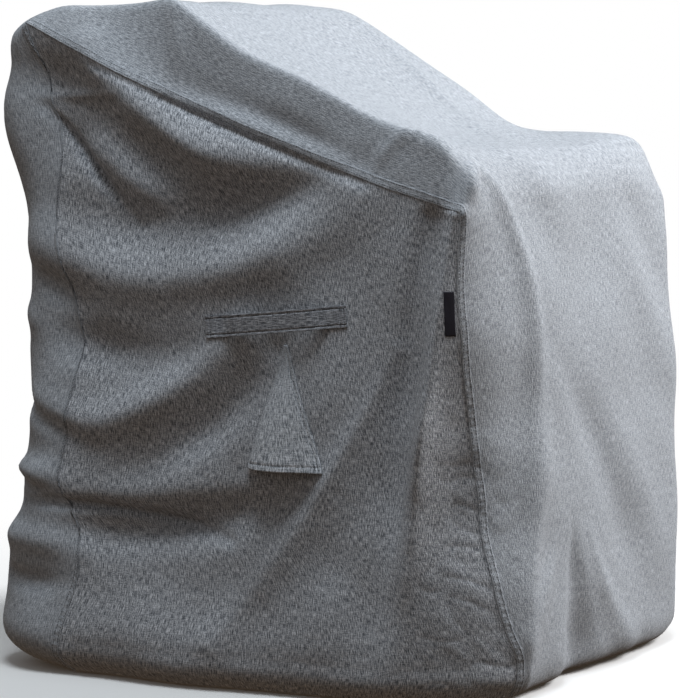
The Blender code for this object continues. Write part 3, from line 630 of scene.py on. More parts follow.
    def outward(self, points: Array) -> Array:
        """Return the direction in which folds rise: out of a wall, or up from the top.

        Args:
            points: Points of the form.

        Returns:
            A unit vector for each point.
        """
        x, y, z = points[..., 0], points[..., 1], points[..., 2]
        climb = np.clip((y - self.DECK_START) / self.DECK_RUN, 0, 1)
        deck = self.DECK_FRONT + self.DECK_GAIN * climb
        sideways, lengthways = (
            np.sign(way) * np.clip(abs(way) / crest, 0, self.WALL_MOST) ** self.WALL_POWER
            for way, crest in ((x, self.CREST_X), (y, self.CREST_Y)))
        height = np.clip((z - self.WALL_TOP) / (deck - self.WALL_TOP), 0, self.TOP_MOST)
        upward = height ** self.TOP_POWER + 1e-9
        return unit(np.stack([sideways, lengthways, upward], -1))

    def on_face(self, face: Face, place: tuple[float, float]) -> Array:
        """Return the point of the plain form at a place of one of its faces.

        Args:
            face: The face.
            place: The place, in the terms that Fold gives.

        Returns:
            The point.
        """
        if face is Face.TOP:
            x, y = place
            left_x, left_z, mid_z, right_z, right_x = (
                float(DECK.at(name, y)) for name in DECK.columns.split()[1:])
            seam = float(self.seam_height(y))
            z = np.interp(x, [-SEAM_X, -left_x, 0, right_x, SEAM_X],
                          [seam, left_z, mid_z, right_z, seam])
            return self.skewed(np.array([x, y, z]))
        lengthwise, z = place
        middle = {Face.LEFT: -np.pi / 2, Face.RIGHT: np.pi / 2,
                  Face.FRONT: 0.0, Face.REAR: np.pi}[face]
        bearings = middle + np.linspace(-self.FACE_HALF, self.FACE_HALF, DENSE)
        points = self.wall_point(bearings, np.full(DENSE, z))
        axis = 1 if face in (Face.LEFT, Face.RIGHT) else 0
        return self.skewed(points[np.argmin(abs(points[:, axis] - lengthwise))])


@dataclass(frozen=True)
class Crumple:
    """Small uneven wrinkles, made of bent waves that cross.

    Attributes:
        seed: Which wrinkles come out.
        wavelength: From crest to crest, in metres.
        height: From the cloth's middle to a crest, in metres.
        crisp: 0 for soft waves, 1 for folds with sharp valleys.
        waves: How many waves cross.
        spread: Shortest and longest wave, as shares of the wavelength.
        bend: How far the waves are bent aside, as a share of the wavelength.
        bend_length: From bend to bend, in wavelengths.
        sharpness: How pointed the sharp valleys are.
        balance: Keeps the middle of a sharp fold near the cloth's middle.
    """

    seed: int
    wavelength: float
    height: float
    crisp: float = 0.0
    waves: int = 8
    spread: tuple[float, float] = (0.75, 1.6)
    bend: float = 0.22
    bend_length: float = 2.3
    sharpness: float = 2.2
    balance: float = 0.45

    def lift(self, points: Array) -> Array:
        """Return how far each point is raised.

        Args:
            points: The points.

        Returns:
            The lift of each, in metres.
        """
        random = np.random.default_rng(self.seed)
        aims = unit(random.normal(size=(self.waves, 3)))
        number = 2 * np.pi / (self.wavelength * random.uniform(*self.spread, self.waves))
        starts = random.uniform(0, 2 * np.pi, self.waves)
        turning = 2 * np.pi / (self.wavelength * self.bend_length)
        bent = points + self.bend * self.wavelength * np.sin(
            points[..., [1, 2, 0]] * turning + starts[:3])
        total = sum(np.sin(bent @ (aims[k] * number[k]) + starts[k])
                    for k in range(self.waves)) / math.sqrt(self.waves / 2)
        sharp = self.sharpness * (self.balance - np.exp(-self.sharpness * abs(total)))
        return self.height * (total * (1 - self.crisp) + sharp * self.crisp)


class Drape:
    """The folds of the hanging cloth, large and small."""

    STEPS = 10                          # straight runs that a fold's curve is read as
    REACH = 3.2                         # widths from its line at which a fold has died out
    FADE = 2.2                          # widths from its line at which that begins
    SAME_WALL = 0.050                   # depth within which a point is on the fold's own wall
    TIP = 0.25                          # share of the width that rounds a sharp crease's tip
    STEEP = 1.6                         # how steeply its sides fall
    LOOSE_AT = (-0.31, -0.35)           # where from above the cloth is most crumpled
    LOOSE_REACH = 0.075                 # how far round that place
    LOOSE_TOP = 0.42                    # below which height
    LOOSE_FADE = 0.12                   # and the height over which that sets in
    EVERYWHERE = 0.3                    # share of the small wrinkles on all of the cloth
    MORE_THERE = 0.9                    # and how much is added at that place

    def __init__(self, form: PlainForm) -> None:
        """Keep the plain form, and choose the three sizes of small wrinkles.

        Args:
            form: The form that the folds lie on.
        """
        self.form = form
        self.swell = Crumple(seed=11, wavelength=0.150, height=1.5 * MM)
        self.crumple = Crumple(seed=5, wavelength=0.060, height=0.9 * MM, crisp=0.6)
        self.fine = Crumple(seed=23, wavelength=0.024, height=0.30 * MM, crisp=0.5)

    def path(self, fold: Fold) -> Array:
        """Return a fold's curved line as points from its start to its end.

        Args:
            fold: The fold.

        Returns:
            The points.
        """
        start, middle, end = (self.form.on_face(fold.face, place)
                              for place in (fold.start, fold.middle, fold.end))
        t = np.linspace(0, 1, self.STEPS + 1)[:, None]
        bend = 2 * middle - 0.5 * (start + end)
        return (1 - t) ** 2 * start + 2 * t * (1 - t) * bend + t * t * end

    def fold_lift(self, points: Array, rise: Array, fold: Fold) -> Array:
        """Work out one fold.

        Args:
            points: Points of the plain form.
            rise: The direction in which folds rise there.
            fold: The fold.

        Returns:
            How far the fold moves each point, in metres.
        """
        line = self.path(fold)
        lift, width = np.array(fold.lift) * MM, np.array(fold.width) * MM
        reach = self.REACH * width.max() + self.SAME_WALL
        low, high = line.min(0) - reach, line.max(0) + reach
        near = ((points > low) & (points < high)).all(-1)
        total = np.zeros(points.shape[:-1])
        if not near.any():
            return total
        points, rise = points[near], rise[near]
        length = lengths_along(line)
        nearest, share = np.full(len(points), 1e9), np.zeros(len(points))
        for k in range(self.STEPS):
            run = line[k + 1] - line[k]
            t = np.clip(((points - line[k]) @ run) / (run @ run), 0, 1)
            away = points - (line[k] + t[:, None] * run)
            depth = (away * rise).sum(-1)
            sideways = np.linalg.norm(away - depth[:, None] * rise, axis=-1)
            distance = np.hypot(sideways, np.maximum(abs(depth) - self.SAME_WALL, 0))
            closer = distance < nearest
            nearest = np.where(closer, distance, nearest)
            share = np.where(closer, (length[k] + t * (length[k + 1] - length[k]))
                             / length[-1], share)
        height = np.where(share < 0.5, lift[0] + (lift[1] - lift[0]) * ease(2 * share),
                          lift[1] + (lift[2] - lift[1]) * ease(2 * share - 1))
        off = nearest / (width[0] + (width[1] - width[0]) * share)
        wave = np.exp(-off ** 2)
        crease = np.exp(-self.STEEP * (np.sqrt(off ** 2 + self.TIP ** 2) - self.TIP))
        profile = wave * (1 - fold.crisp) + crease * fold.crisp
        fade = ease((off - self.FADE) / (self.REACH - self.FADE))
        total[near] = height * profile * (1 - fade)
        return total

    def looseness(self, points: Array) -> Array:
        """Return the share of small wrinkles: most low beside the left front seam.

        Args:
            points: The points.

        Returns:
            The share at each.
        """
        x, y, z = points[..., 0], points[..., 1], points[..., 2]
        middle_x, middle_y = self.LOOSE_AT
        away = (x - middle_x) ** 2 + (y - middle_y) ** 2
        near = np.exp(-away / self.LOOSE_REACH ** 2)
        low = ease((self.LOOSE_TOP - z) / self.LOOSE_FADE)
        return self.EVERYWHERE + self.MORE_THERE * near * low

    def hang(self, plain: Array) -> Array:
        """Return the points of the plain form as the cloth hangs there.

        Args:
            plain: Points of the plain form.

        Returns:
            The points moved by every fold and wrinkle.
        """
        points = self.form.skewed(plain)
        rise = self.form.outward(points)
        lift = sum(self.fold_lift(points, rise, fold) for fold in FOLDS)
        lift = lift + self.swell.lift(points)
        crumpled = self.crumple.lift(points) + self.fine.lift(points)
        lift = lift + crumpled * self.looseness(points)
        return points + rise * lift[..., None] + np.array(FRAME_SHIFT)


def grid_normals(grid: Array, sign: float) -> Array:
    """Return the outward normals of a grid of points."""
    return unit(np.cross(np.gradient(grid, axis=1), np.gradient(grid, axis=0))) * sign


def edge_dense(fine: int, fine_length: float, coarse: int, length: float) -> Array:
    """Space columns closely at both ends and evenly between.

    Args:
        fine: Number of close steps at each end.
        fine_length: Length of the close stretch, in metres.
        coarse: Number of even steps between.
        length: Whole length, in metres.

    Returns:
        Shares of the length, from 0 to 1.
    """
    close = fine_length / length
    first = np.linspace(0, close, fine + 1)
    return np.r_[first[:-1], np.linspace(close, 1 - close, coarse + 1), 1 - first[:-1][::-1]]


@dataclass
class Surface:
    """A piece of cloth as a grid of points.

    Attributes:
        grid: Points as rows by columns by 3.
        sign: 1 where columns, rows and outward are right-handed, otherwise -1.
    """

    grid: Array
    sign: float
    normal: Array = field(init=False)

    def __post_init__(self) -> None:
        """Work out the normals."""
        self.normal = grid_normals(self.grid, self.sign)

    def cloth_map(self) -> Array:
        """Return flat coordinates in metres, along the weft and along the warp.

        Returns:
            Rows by columns by 2.
        """
        along = np.linalg.norm(np.diff(self.grid, axis=0), axis=-1).mean(1)
        across = np.linalg.norm(np.diff(self.grid, axis=1), axis=-1).mean(0)
        v, u = np.r_[0, np.cumsum(along)], np.r_[0, np.cumsum(across)]
        return np.stack(np.broadcast_arrays(u[None, :], v[:, None]), -1)

    def read(self, places: Array) -> tuple[Array, Array]:
        """Read points and normals at places on the cloth.

        Args:
            places: Shares of the rows and of the columns, each from 0 to 1.

        Returns:
            The points, and the normals there.
        """
        last = np.array(self.grid.shape[:2]) - 1
        scaled = np.clip(places, 0, 1) * last
        low = np.minimum(scaled.astype(int), last - 1)
        part = scaled - low
        found = []
        for values in (self.grid, self.normal):
            corners = [values[low[:, 0] + i, low[:, 1] + j]
                       * (np.abs(1 - i - part[:, :1]) * np.abs(1 - j - part[:, 1:]))
                       for i in (0, 1) for j in (0, 1)]
            found.append(sum(corners))
        return found[0], unit(found[1])


class MeshMaker:
    """Turns arrays of points into mesh objects."""

    THREAD_SIDES = 5
    SHOULDER = 0.3                      # how far from its middle a stitch is full, in lengths
    DIP = 0.9                           # how deep its ends dip, in radii of the thread

    def from_arrays(self, name: str, points: Array, faces: list[Array], uv: Array | None,
                    material: bpy.types.Material) -> bpy.types.Object:
        """Make a mesh object.

        Args:
            name: The object's name.
            points: Vertices.
            faces: Arrays of faces, each array with one number of corners.
            uv: Flat coordinates of each vertex, in metres.
            material: The finish.

        Returns:
            The new object, smooth shaded.
        """
        mesh = bpy.data.meshes.new(name)
        corners = np.concatenate([f.ravel() for f in faces]).astype(np.int32)
        totals = np.concatenate([np.full(len(f), f.shape[1]) for f in faces]).astype(np.int32)
        mesh.vertices.add(len(points))
        mesh.vertices.foreach_set("co", points.astype(np.float32).ravel())
        mesh.loops.add(len(corners))
        mesh.loops.foreach_set("vertex_index", corners)
        mesh.polygons.add(len(totals))
        mesh.polygons.foreach_set("loop_start", np.r_[0, np.cumsum(totals)[:-1]].astype(np.int32))
        mesh.polygons.foreach_set("loop_total", totals)
        if uv is not None:
            layer = mesh.uv_layers.new(name="cloth_metres")
            layer.data.foreach_set("uv", uv[corners].astype(np.float32).ravel())
        mesh.update(calc_edges=True)
        mesh.validate()
        mesh.materials.append(material)
        mesh.shade_smooth()
        piece = bpy.data.objects.new(name, mesh)
        bpy.context.scene.collection.objects.link(piece)
        return piece

    def grid_faces(self, rows: int, columns: int, start: int = 0) -> Array:
        """Return the four-cornered faces of a grid of vertices.

        Args:
            rows: Its rows.
            columns: Its columns.
            start: Number of its first vertex.

        Returns:
            Four vertex numbers for each face.
        """
        number = start + np.arange(rows * columns).reshape(rows, columns)
        return np.stack([number[:-1, :-1], number[:-1, 1:], number[1:, 1:],
                         number[1:, :-1]], -1).reshape(-1, 4)

    def loop(self, number: Array) -> Array:
        """Return the vertices round the edge of a grid, in order."""
        return np.r_[number[0, :-1], number[:-1, -1], number[-1, :0:-1], number[:0:-1, 0]]

    def sheet(self, name: str, surface: Surface, thickness: float,
              material: bpy.types.Material) -> bpy.types.Object:
        """Make a closed sheet: a fine outer face, a coarser inner one and an edge.

        Args:
            name: The object's name.
            surface: The outer face; its rows and columns are odd in number.
            thickness: The cloth's thickness, in metres.
            material: The finish.

        Returns:
            The new object.
        """
        rows, columns = surface.grid.shape[:2]
        inner = (surface.grid - surface.normal * thickness)[::2, ::2]
        start = rows * columns
        outer_faces = self.grid_faces(rows, columns)
        inner_faces = self.grid_faces(*inner.shape[:2], start)[:, ::-1]
        fine = self.loop(np.arange(start).reshape(rows, columns))
        coarse = self.loop(start + np.arange(inner[..., 0].size).reshape(inner.shape[:2]))
        here, between, ahead = fine[::2], fine[1::2], np.roll(fine[::2], -1)
        below, below_ahead = coarse, np.roll(coarse, -1)
        edge = np.concatenate([np.stack(corners, -1) for corners in (
            (between, here, below), (between, below, below_ahead),
            (ahead, between, below_ahead))])
        faces = [outer_faces, inner_faces, edge]
        if surface.sign < 0:
            faces = [f[:, ::-1] for f in faces]
        points = np.concatenate([surface.grid.reshape(-1, 3), inner.reshape(-1, 3)])
        flat = surface.cloth_map()
        uv = np.concatenate([flat.reshape(-1, 2), flat[::2, ::2].reshape(-1, 2)])
        return self.from_arrays(name, points, faces, uv, material)

    def stitches(self, name: str, centre: Array, along: Array, up: Array, length: float,
                 radius: float, material: bpy.types.Material) -> bpy.types.Object:
        """Make a row of stitches, each a small spindle of thread.

        Args:
            name: The object's name.
            centre: Middle of each stitch.
            along: Direction of each.
            up: Out of the cloth at each.
            length: Length of a stitch.
            radius: Radius of the thread.
            material: The finish.

        Returns:
            The new object.
        """
        along = unit(along)
        up = unit(up - (up * along).sum(-1, keepdims=True) * along)
        across = np.cross(along, up)
        sides = self.THREAD_SIDES
        turn = np.linspace(0, 2 * np.pi, sides, endpoint=False)
        ring = across[:, None] * np.cos(turn)[:, None] + up[:, None] * np.sin(turn)[:, None]
        ends = along[:, None] * length
        body = centre[:, None]
        dip = up[:, None] * radius * self.DIP
        points = np.concatenate([
            body - ends * 0.5 - dip,
            body - ends * self.SHOULDER + ring * radius,
            body + ends * self.SHOULDER + ring * radius,
            body + ends * 0.5 - dip], 1)
        near = 1 + np.arange(sides)
        near_next = np.roll(near, -1)
        far, far_next = near + sides, near_next + sides
        tip = 2 * sides + 1
        first = np.stack([0 * near, near, near_next], -1)
        last = np.stack([0 * near + tip, far_next, far], -1)
        middle = np.stack([near, far, far_next, near_next], -1)
        shift = ((tip + 1) * np.arange(len(centre)))[:, None, None]
        faces = [(shift + np.concatenate([first, last])).reshape(-1, 3),
                 (shift + middle).reshape(-1, 4)]
        return self.from_arrays(name, points.reshape(-1, 3), faces, None, material)


def linear(code: str) -> tuple[float, float, float]:
    """Turn an sRGB hex code into linear red, green and blue.

    Args:
        code: Six hex digits after a hash sign.

    Returns:
        The three values, from 0 to 1.
    """
    values = [int(code[k:k + 2], 16) / 255 for k in (1, 3, 5)]
    red, green, blue = (v / 12.92 if v <= 0.04045 else ((v + 0.055) / 1.055) ** 2.4
                        for v in values)
    return red, green, blue


def add_node(tree: bpy.types.NodeTree, kind: str, links: dict[str | int, object],
             **settings: object) -> bpy.types.Node:
    """Add a node to a tree.

    Args:
        tree: The tree.
        kind: The node's type.
        links: Value or output socket for each of its inputs.
        settings: Its other settings.

    Returns:
        The node.
    """
    node = tree.nodes.new(kind)
    for name, value in settings.items():
        setattr(node, name, value)
    for name, value in links.items():
        if isinstance(value, bpy.types.NodeSocket):
            tree.links.new(value, node.inputs[name])
        else:
            node.inputs[name].default_value = value
    return node


def new_material(name: str) -> tuple[bpy.types.Material, bpy.types.NodeTree, bpy.types.Node]:
    """Start a material.

    Args:
        name: Its name.

    Returns:
        The material, its node tree and its main shader.
    """
    material = bpy.data.materials.new(name)
    material.use_nodes = True
    tree = material.node_tree
    return material, tree, tree.nodes["Principled BSDF"]


@dataclass(frozen=True)
class WovenPolyester:
    """Melange polyester in plain weave: light and dark yarns with slubs, dull and dry.

    The yarns themselves are too fine to show, so the slubs are drawn as streaks about
    1.2 mm wide and 9.5 mm long, along the warp and, weaker, along the weft.
    """

    name: str
    dark: str
    middle: str
    light: str
    streak_width: float = 1.15 * MM
    streak_length: float = 9.5 * MM
    grain: float = 0.9 * MM
    bump: float = 0.8 * MM
    warp_share: float = 0.55
    weft_share: float = 0.24
    grain_share: float = 0.40
    stops: tuple[float, float, float] = (0.46, 0.60, 0.76)
    roughness: float = 0.92
    refraction: float = 1.5
    gloss: float = 0.25
    sheen: float = 0.08
    sheen_roughness: float = 0.5

    def make(self) -> bpy.types.Material:
        """Build the material.

        Returns:
            The material.
        """
        material, tree, shader = new_material(self.name)
        shader.inputs["Roughness"].default_value = self.roughness
        shader.inputs["IOR"].default_value = self.refraction
        shader.inputs["Specular IOR Level"].default_value = self.gloss
        shader.inputs["Sheen Weight"].default_value = self.sheen
        shader.inputs["Sheen Roughness"].default_value = self.sheen_roughness
        flat = add_node(tree, "ShaderNodeUVMap", {}, uv_map="cloth_metres").outputs["UV"]

        def streaks(width: float, length: float, detail: float) -> bpy.types.NodeSocket:
            """Return a noise of streaks with a width and a length, in metres.

            Args:
                width: Along the weft.
                length: Along the warp.
                detail: How many finer noises are added.

            Returns:
                The noise.
            """
            scaled = add_node(tree, "ShaderNodeMapping",
                              {"Vector": flat, "Scale": (1 / width, 1 / length, 1.0)})
            return add_node(tree, "ShaderNodeTexNoise",
                            {"Vector": scaled.outputs[0], "Scale": 1.0, "Detail": detail,
                             "Roughness": 0.55}, noise_dimensions="2D").outputs[0]

        warp = streaks(self.streak_width, self.streak_length, 1.0)
        weft = streaks(self.streak_length, self.streak_width, 1.0)
        grain = streaks(self.grain, self.grain, 2.0)
        both = add_node(tree, "ShaderNodeMath", {0: warp, 1: self.warp_share}, operation="MULTIPLY")
        for yarns, share in ((weft, self.weft_share), (grain, self.grain_share)):
            both = add_node(tree, "ShaderNodeMath", {0: yarns, 1: share, 2: both.outputs[0]},
                            operation="MULTIPLY_ADD")
        ramp = add_node(tree, "ShaderNodeValToRGB", {"Fac": both.outputs[0]})
        first, second, third = self.stops
        ramp.color_ramp.elements[0].position = first
        ramp.color_ramp.elements[0].color = (*linear(self.dark), 1)
        ramp.color_ramp.elements[1].position = third
        ramp.color_ramp.elements[1].color = (*linear(self.light), 1)
        middle = ramp.color_ramp.elements.new(second)
        middle.color = (*linear(self.middle), 1)
        tree.links.new(ramp.outputs["Color"], shader.inputs["Base Color"])
        bump = add_node(tree, "ShaderNodeBump",
                        {"Height": both.outputs[0], "Distance": self.bump, "Strength": 1.0})
        tree.links.new(bump.outputs["Normal"], shader.inputs["Normal"])
        return material


@dataclass(frozen=True)
class PlainFinish:
    """A plain textile finish: one colour with a fine grain."""

    name: str
    colour: str
    roughness: float = 0.8
    grain: float = 0.8 * MM
    gloss: float = 0.3
    contrast: float = 0.25
    stops: tuple[float, float] = (0.3, 0.7)

    def make(self) -> bpy.types.Material:
        """Build the material.

        Returns:
            The material.
        """
        material, tree, shader = new_material(self.name)
        shader.inputs["Roughness"].default_value = self.roughness
        shader.inputs["Specular IOR Level"].default_value = self.gloss
        place = add_node(tree, "ShaderNodeTexCoord", {}).outputs["Object"]
        noise = add_node(tree, "ShaderNodeTexNoise",
                         {"Vector": place, "Scale": 1 / self.grain, "Detail": 2.0})
        ramp = add_node(tree, "ShaderNodeValToRGB", {"Fac": noise.outputs[0]})
        colour = np.array(linear(self.colour))
        shades = (1 - self.contrast, 1 + self.contrast)
        for element, stop, shade in zip(ramp.color_ramp.elements, self.stops, shades):
            element.position = stop
            element.color = (*(colour * shade), 1)
        tree.links.new(ramp.outputs["Color"], shader.inputs["Base Color"])
        return material


class Finishes:
    """Every finish of the cover."""

    def __init__(self) -> None:
        """Build the materials."""
        self.strip = WovenPolyester("woven_polyester_strip", "#767b82", "#9da2a9",
                                    "#c3c8d0").make()
        self.side = WovenPolyester("woven_polyester_side", "#565b62", "#9b9fa6",
                                   "#dbdfe6").make()
        self.webbing = WovenPolyester("handle_webbing_polyester", "#4d5157", "#878a91",
                                      "#bcc0c7").make()
        # The hood's cloth is the side panels' cloth painted lighter in its dark and middle tones:
        # painted light, standing in for the top light on the hood's up-facing face.
        self.hood = WovenPolyester("vent_hood_polyester_painted_light", "#666b72", "#a3a8af",
                                   "#dde1e8").make()
        # Dark grey thread, darkened further with painted shade: its colour stands in for the shade
        # in the small grooves where the stitches sink in.
        self.thread = PlainFinish("sewing_thread_painted_groove_shade", "#2c2e32", roughness=0.6).make()
        self.label = PlainFinish("label_satin_polyester", "#23232d", roughness=0.5).make()


@dataclass(frozen=True)
class StitchRows:
    """Straight rows of stitches sewn through one piece of cloth.

    Attributes:
        tracks: Start and end of each row, as shares of the cloth's rows and columns.
        pitch: From stitch to stitch.
        stitch: Length of a stitch.
        thread: Radius of the thread.
        lift: How far a stitch's middle stands above the cloth.
        reads: Number of points at which a row is read from the cloth.
        ahead: Share of a row over which its direction is taken, each way.
    """

    tracks: tuple[tuple[tuple[float, float], tuple[float, float]], ...]
    pitch: float = 3.6 * MM
    stitch: float = 2.6 * MM
    thread: float = 0.38 * MM
    lift: float = 0.1 * MM
    reads: int = 120
    ahead: float = 0.01

    def build(self, name: str, surface: Surface, maker: MeshMaker,
              thread: bpy.types.Material) -> bpy.types.Object:
        """Sew every row.

        Args:
            name: The object's name.
            surface: The cloth's outer face.
            maker: Turns points into objects.
            thread: The finish.

        Returns:
            The stitches.
        """
        parts = []
        for start, end in self.tracks:
            even = np.linspace(np.array(start), np.array(end), self.reads)
            line, normal = surface.read(even)
            count = max(2, round(lengths_along(line)[-1] / self.pitch))
            steps = (np.arange(count) + 0.5) / count
            both = read_line(np.concatenate([line, normal], 1), steps)
            ahead = read_line(line, np.minimum(steps + self.ahead, 1))
            behind = read_line(line, np.maximum(steps - self.ahead, 0))
            parts.append((both[:, :3] + self.lift * both[:, 3:], ahead - behind, both[:, 3:]))
        centre, along, up = (np.concatenate(part) for part in zip(*parts))
        return maker.stitches(name, centre, along, up, self.stitch, self.thread, thread)


@dataclass(frozen=True)
class Seam:
    """A felled seam: a folded band of the strip lying beside a panel, stitched twice.

    Attributes:
        overhang: How far the band reaches past the seam line onto the panel.
        width: How far it reaches onto the strip.
        rise: Its height above the strip.
        rows: Distances of its two rows of stitches from the seam line.
        pitch: From stitch to stitch.
        stitch: Length of a stitch.
        thread: Radius of the thread.
        lift: How far a stitch's middle stands above the band.
        uneven: How unevenly the stitches are spaced.
        step: Length of the band's steps along the seam.
        pucker: Height of the puckers between the rows.
        pucker_length: From pucker to pucker.
        pucker_middle: Distance of their highest line from the seam line.
        pucker_spread: How far they reach from it.
        pucker_drift: How much a pucker's place drifts from step to step, in radians.
        wander: How far the band strays from side to side.
        wander_length: From stray to stray.
        seed: Which puckers come out.
    """

    overhang: float = 0.8 * MM
    width: float = 11.5 * MM
    rise: float = 1.3 * MM
    rows: tuple[float, ...] = (2.4 * MM, 9.2 * MM)
    pitch: float = 4.2 * MM
    stitch: float = 3.0 * MM
    thread: float = 0.38 * MM
    lift: float = 0.12 * MM
    uneven: float = 0.12 * MM
    step: float = 1.5 * MM
    pucker: float = 0.32 * MM
    pucker_length: float = 9.5 * MM
    pucker_middle: float = 5.8 * MM
    pucker_spread: float = 3.4 * MM
    pucker_drift: float = 0.16
    wander: float = 0.35 * MM
    wander_length: float = 0.11
    seed: int = 40

    def profile(self) -> tuple[Array, Array]:
        """Return the band's cross-section: distance from the seam line, and height.

        Returns:
            Both, in metres, from the panel's side inwards.
        """
        low, high = -self.overhang, self.width
        first, second = self.rows
        away = np.array([low, low + 0.1 * MM, low + 0.8 * MM, first, (first + second) / 2,
                         second, high - 0.7 * MM, high - 0.1 * MM, high])
        height = self.rise * np.array([-0.3, 0.6, 0.95, 0.5, 1.0, 0.5, 0.9, 0.5, -0.3])
        return away, height


class SeamMaker:
    """Builds the felled bands along the strip's two long edges, and their stitches."""

    SEWN = (3, 5)                       # the profile's points that are sewn down
    SEARCHED = 20                       # columns of the strip among which the band ends

    def __init__(self, strip: Surface, seam: Seam) -> None:
        """Keep the strip and the seam.

        Args:
            strip: The strip whose edges are sewn.
            seam: The seam's sizes.
        """
        self.strip = strip
        self.seam = seam

    def ribbon(self, side: Side) -> tuple[Array, Array, Array]:
        """Lay out one edge of the strip as a ribbon with fine steps.

        Args:
            side: The edge.

        Returns:
            Lines of points from the seam line into the strip as steps by lines by 3, the
            normal at each step, and each step's distance along the seam.
        """
        grid = self.strip.grid if side is Side.LEFT else self.strip.grid[:, ::-1]
        normal = self.strip.normal if side is Side.LEFT else self.strip.normal[:, ::-1]
        line = grid[:, 0]
        length = lengths_along(line)
        steps = np.linspace(0, 1, round(length[-1] / self.seam.step))
        shares = length / length[-1]
        reach = np.linalg.norm(grid[:, :self.SEARCHED] - grid[:, :1], axis=-1).mean(0)
        near = np.argmax(reach > self.seam.width)
        columns = [np.stack([np.interp(steps, shares, grid[:, k, axis]) for axis in range(3)],
                            -1) for k in range(near + 1)]
        up = np.stack([np.interp(steps, shares, normal[:, near // 2, axis])
                       for axis in range(3)], -1)
        return np.stack(columns, 1), unit(up), steps * length[-1]

    def at(self, columns: Array, away: float) -> Array:
        """Return the line at a distance from the seam, on the strip.

        Args:
            columns: The ribbon that ribbon gives.
            away: The distance, in metres.

        Returns:
            One point for each step along the seam.
        """
        first = columns[:, 1] - columns[:, 0]
        if away <= 0:
            return columns[:, 0] + unit(first) * away
        reach = np.linalg.norm(np.diff(columns, axis=1), axis=-1).cumsum(1)
        reach = np.concatenate([np.zeros((len(reach), 1)), reach], 1)
        index = np.clip((reach < away).sum(1) - 1, 0, columns.shape[1] - 2)
        row = np.arange(len(columns))
        span = reach[row, index + 1] - reach[row, index]
        t = ((away - reach[row, index]) / span)[:, None]
        return columns[row, index] * (1 - t) + columns[row, index + 1] * t

    def build(self, side: Side, maker: MeshMaker, cloth: bpy.types.Material,
              thread: bpy.types.Material) -> tuple[bpy.types.Object, bpy.types.Object]:
        """Build one seam.

        Args:
            side: The side panel that it joins.
            maker: Turns points into objects.
            cloth: The band's finish.
            thread: The stitches' finish.

        Returns:
            The band, and its stitches.
        """
        seam = self.seam
        columns, up, length = self.ribbon(side)
        away, height = seam.profile()
        random = np.random.default_rng(seam.seed + side.value)
        phase = np.cumsum(random.normal(0, seam.pucker_drift, len(length)))
        pucker = np.sin(length * 2 * np.pi / seam.pucker_length + phase)
        wander = seam.wander * np.sin(length * 2 * np.pi / seam.wander_length
                                      + 2 * random.random())
        band = []
        for d, h in zip(away, height):
            between = math.exp(-((d - seam.pucker_middle) / seam.pucker_spread) ** 2)
            lift = h + seam.pucker * pucker * between
            band.append(self.at(columns, d) + up * lift[:, None])
        band = np.stack(band, 1)
        band[:, 1:-1] += unit(columns[:, 1] - columns[:, 0])[:, None] * wander[:, None, None]
        faces = maker.grid_faces(*band.shape[:2])
        if side is Side.RIGHT:
            faces = faces[:, ::-1]
        uv = np.stack(np.broadcast_arrays(away[None, :], length[:, None]), -1)
        name = side.name.lower()
        piece = maker.from_arrays("seam_band_" + name, band.reshape(-1, 3), [faces],
                                  uv.reshape(-1, 2), cloth)
        rows = []
        for k in self.SEWN:
            line = band[:, k] + up * seam.lift
            shares = lengths_along(line)
            middle = np.arange(seam.pitch, shares[-1], seam.pitch)
            middle = middle + random.normal(0, seam.uneven, len(middle))
            spot = [np.stack([np.interp(middle + shift, shares, values[:, axis])
                              for axis in range(3)], -1)
                    for values, shift in ((line, 0), (line, MM), (line, -MM), (up, 0))]
            rows.append((spot[0], spot[1] - spot[2], spot[3]))
        centre, along, normal = (np.concatenate(part) for part in zip(*rows))
        stitches = maker.stitches("seam_stitches_" + name, centre, along, normal,
                                  seam.stitch, seam.thread, thread)
        return piece, stitches


class PanelReader:
    """Reads how far out a side panel's face stands at a place."""

    BESIDE_X = 0.33                     # where to look from for a place that the panel misses

    def __init__(self, piece: bpy.types.Object, side: Side) -> None:
        """Index the panel's mesh.

        Args:
            piece: The panel.
            side: Its side.
        """
        self.side = side
        mesh = piece.data
        corners = [vertex.co.copy() for vertex in mesh.vertices]
        faces = [tuple(polygon.vertices) for polygon in mesh.polygons]
        self.tree = BVHTree.FromPolygons(corners, faces)

    def reach(self, y: float, z: float) -> float:
        """Return the distance of the panel's face from the middle plane at (y, z).

        Args:
            y: The depth.
            z: The height.

        Returns:
            The distance, in metres.
        """
        sign = self.side.value
        start = Vector((sign, y, z))
        hit = self.tree.ray_cast(start, Vector((-sign, 0, 0)))[0]
        if hit is None:
            hit = self.tree.find_nearest(Vector((self.BESIDE_X * sign, y, z)))[0]
        return hit.x * sign


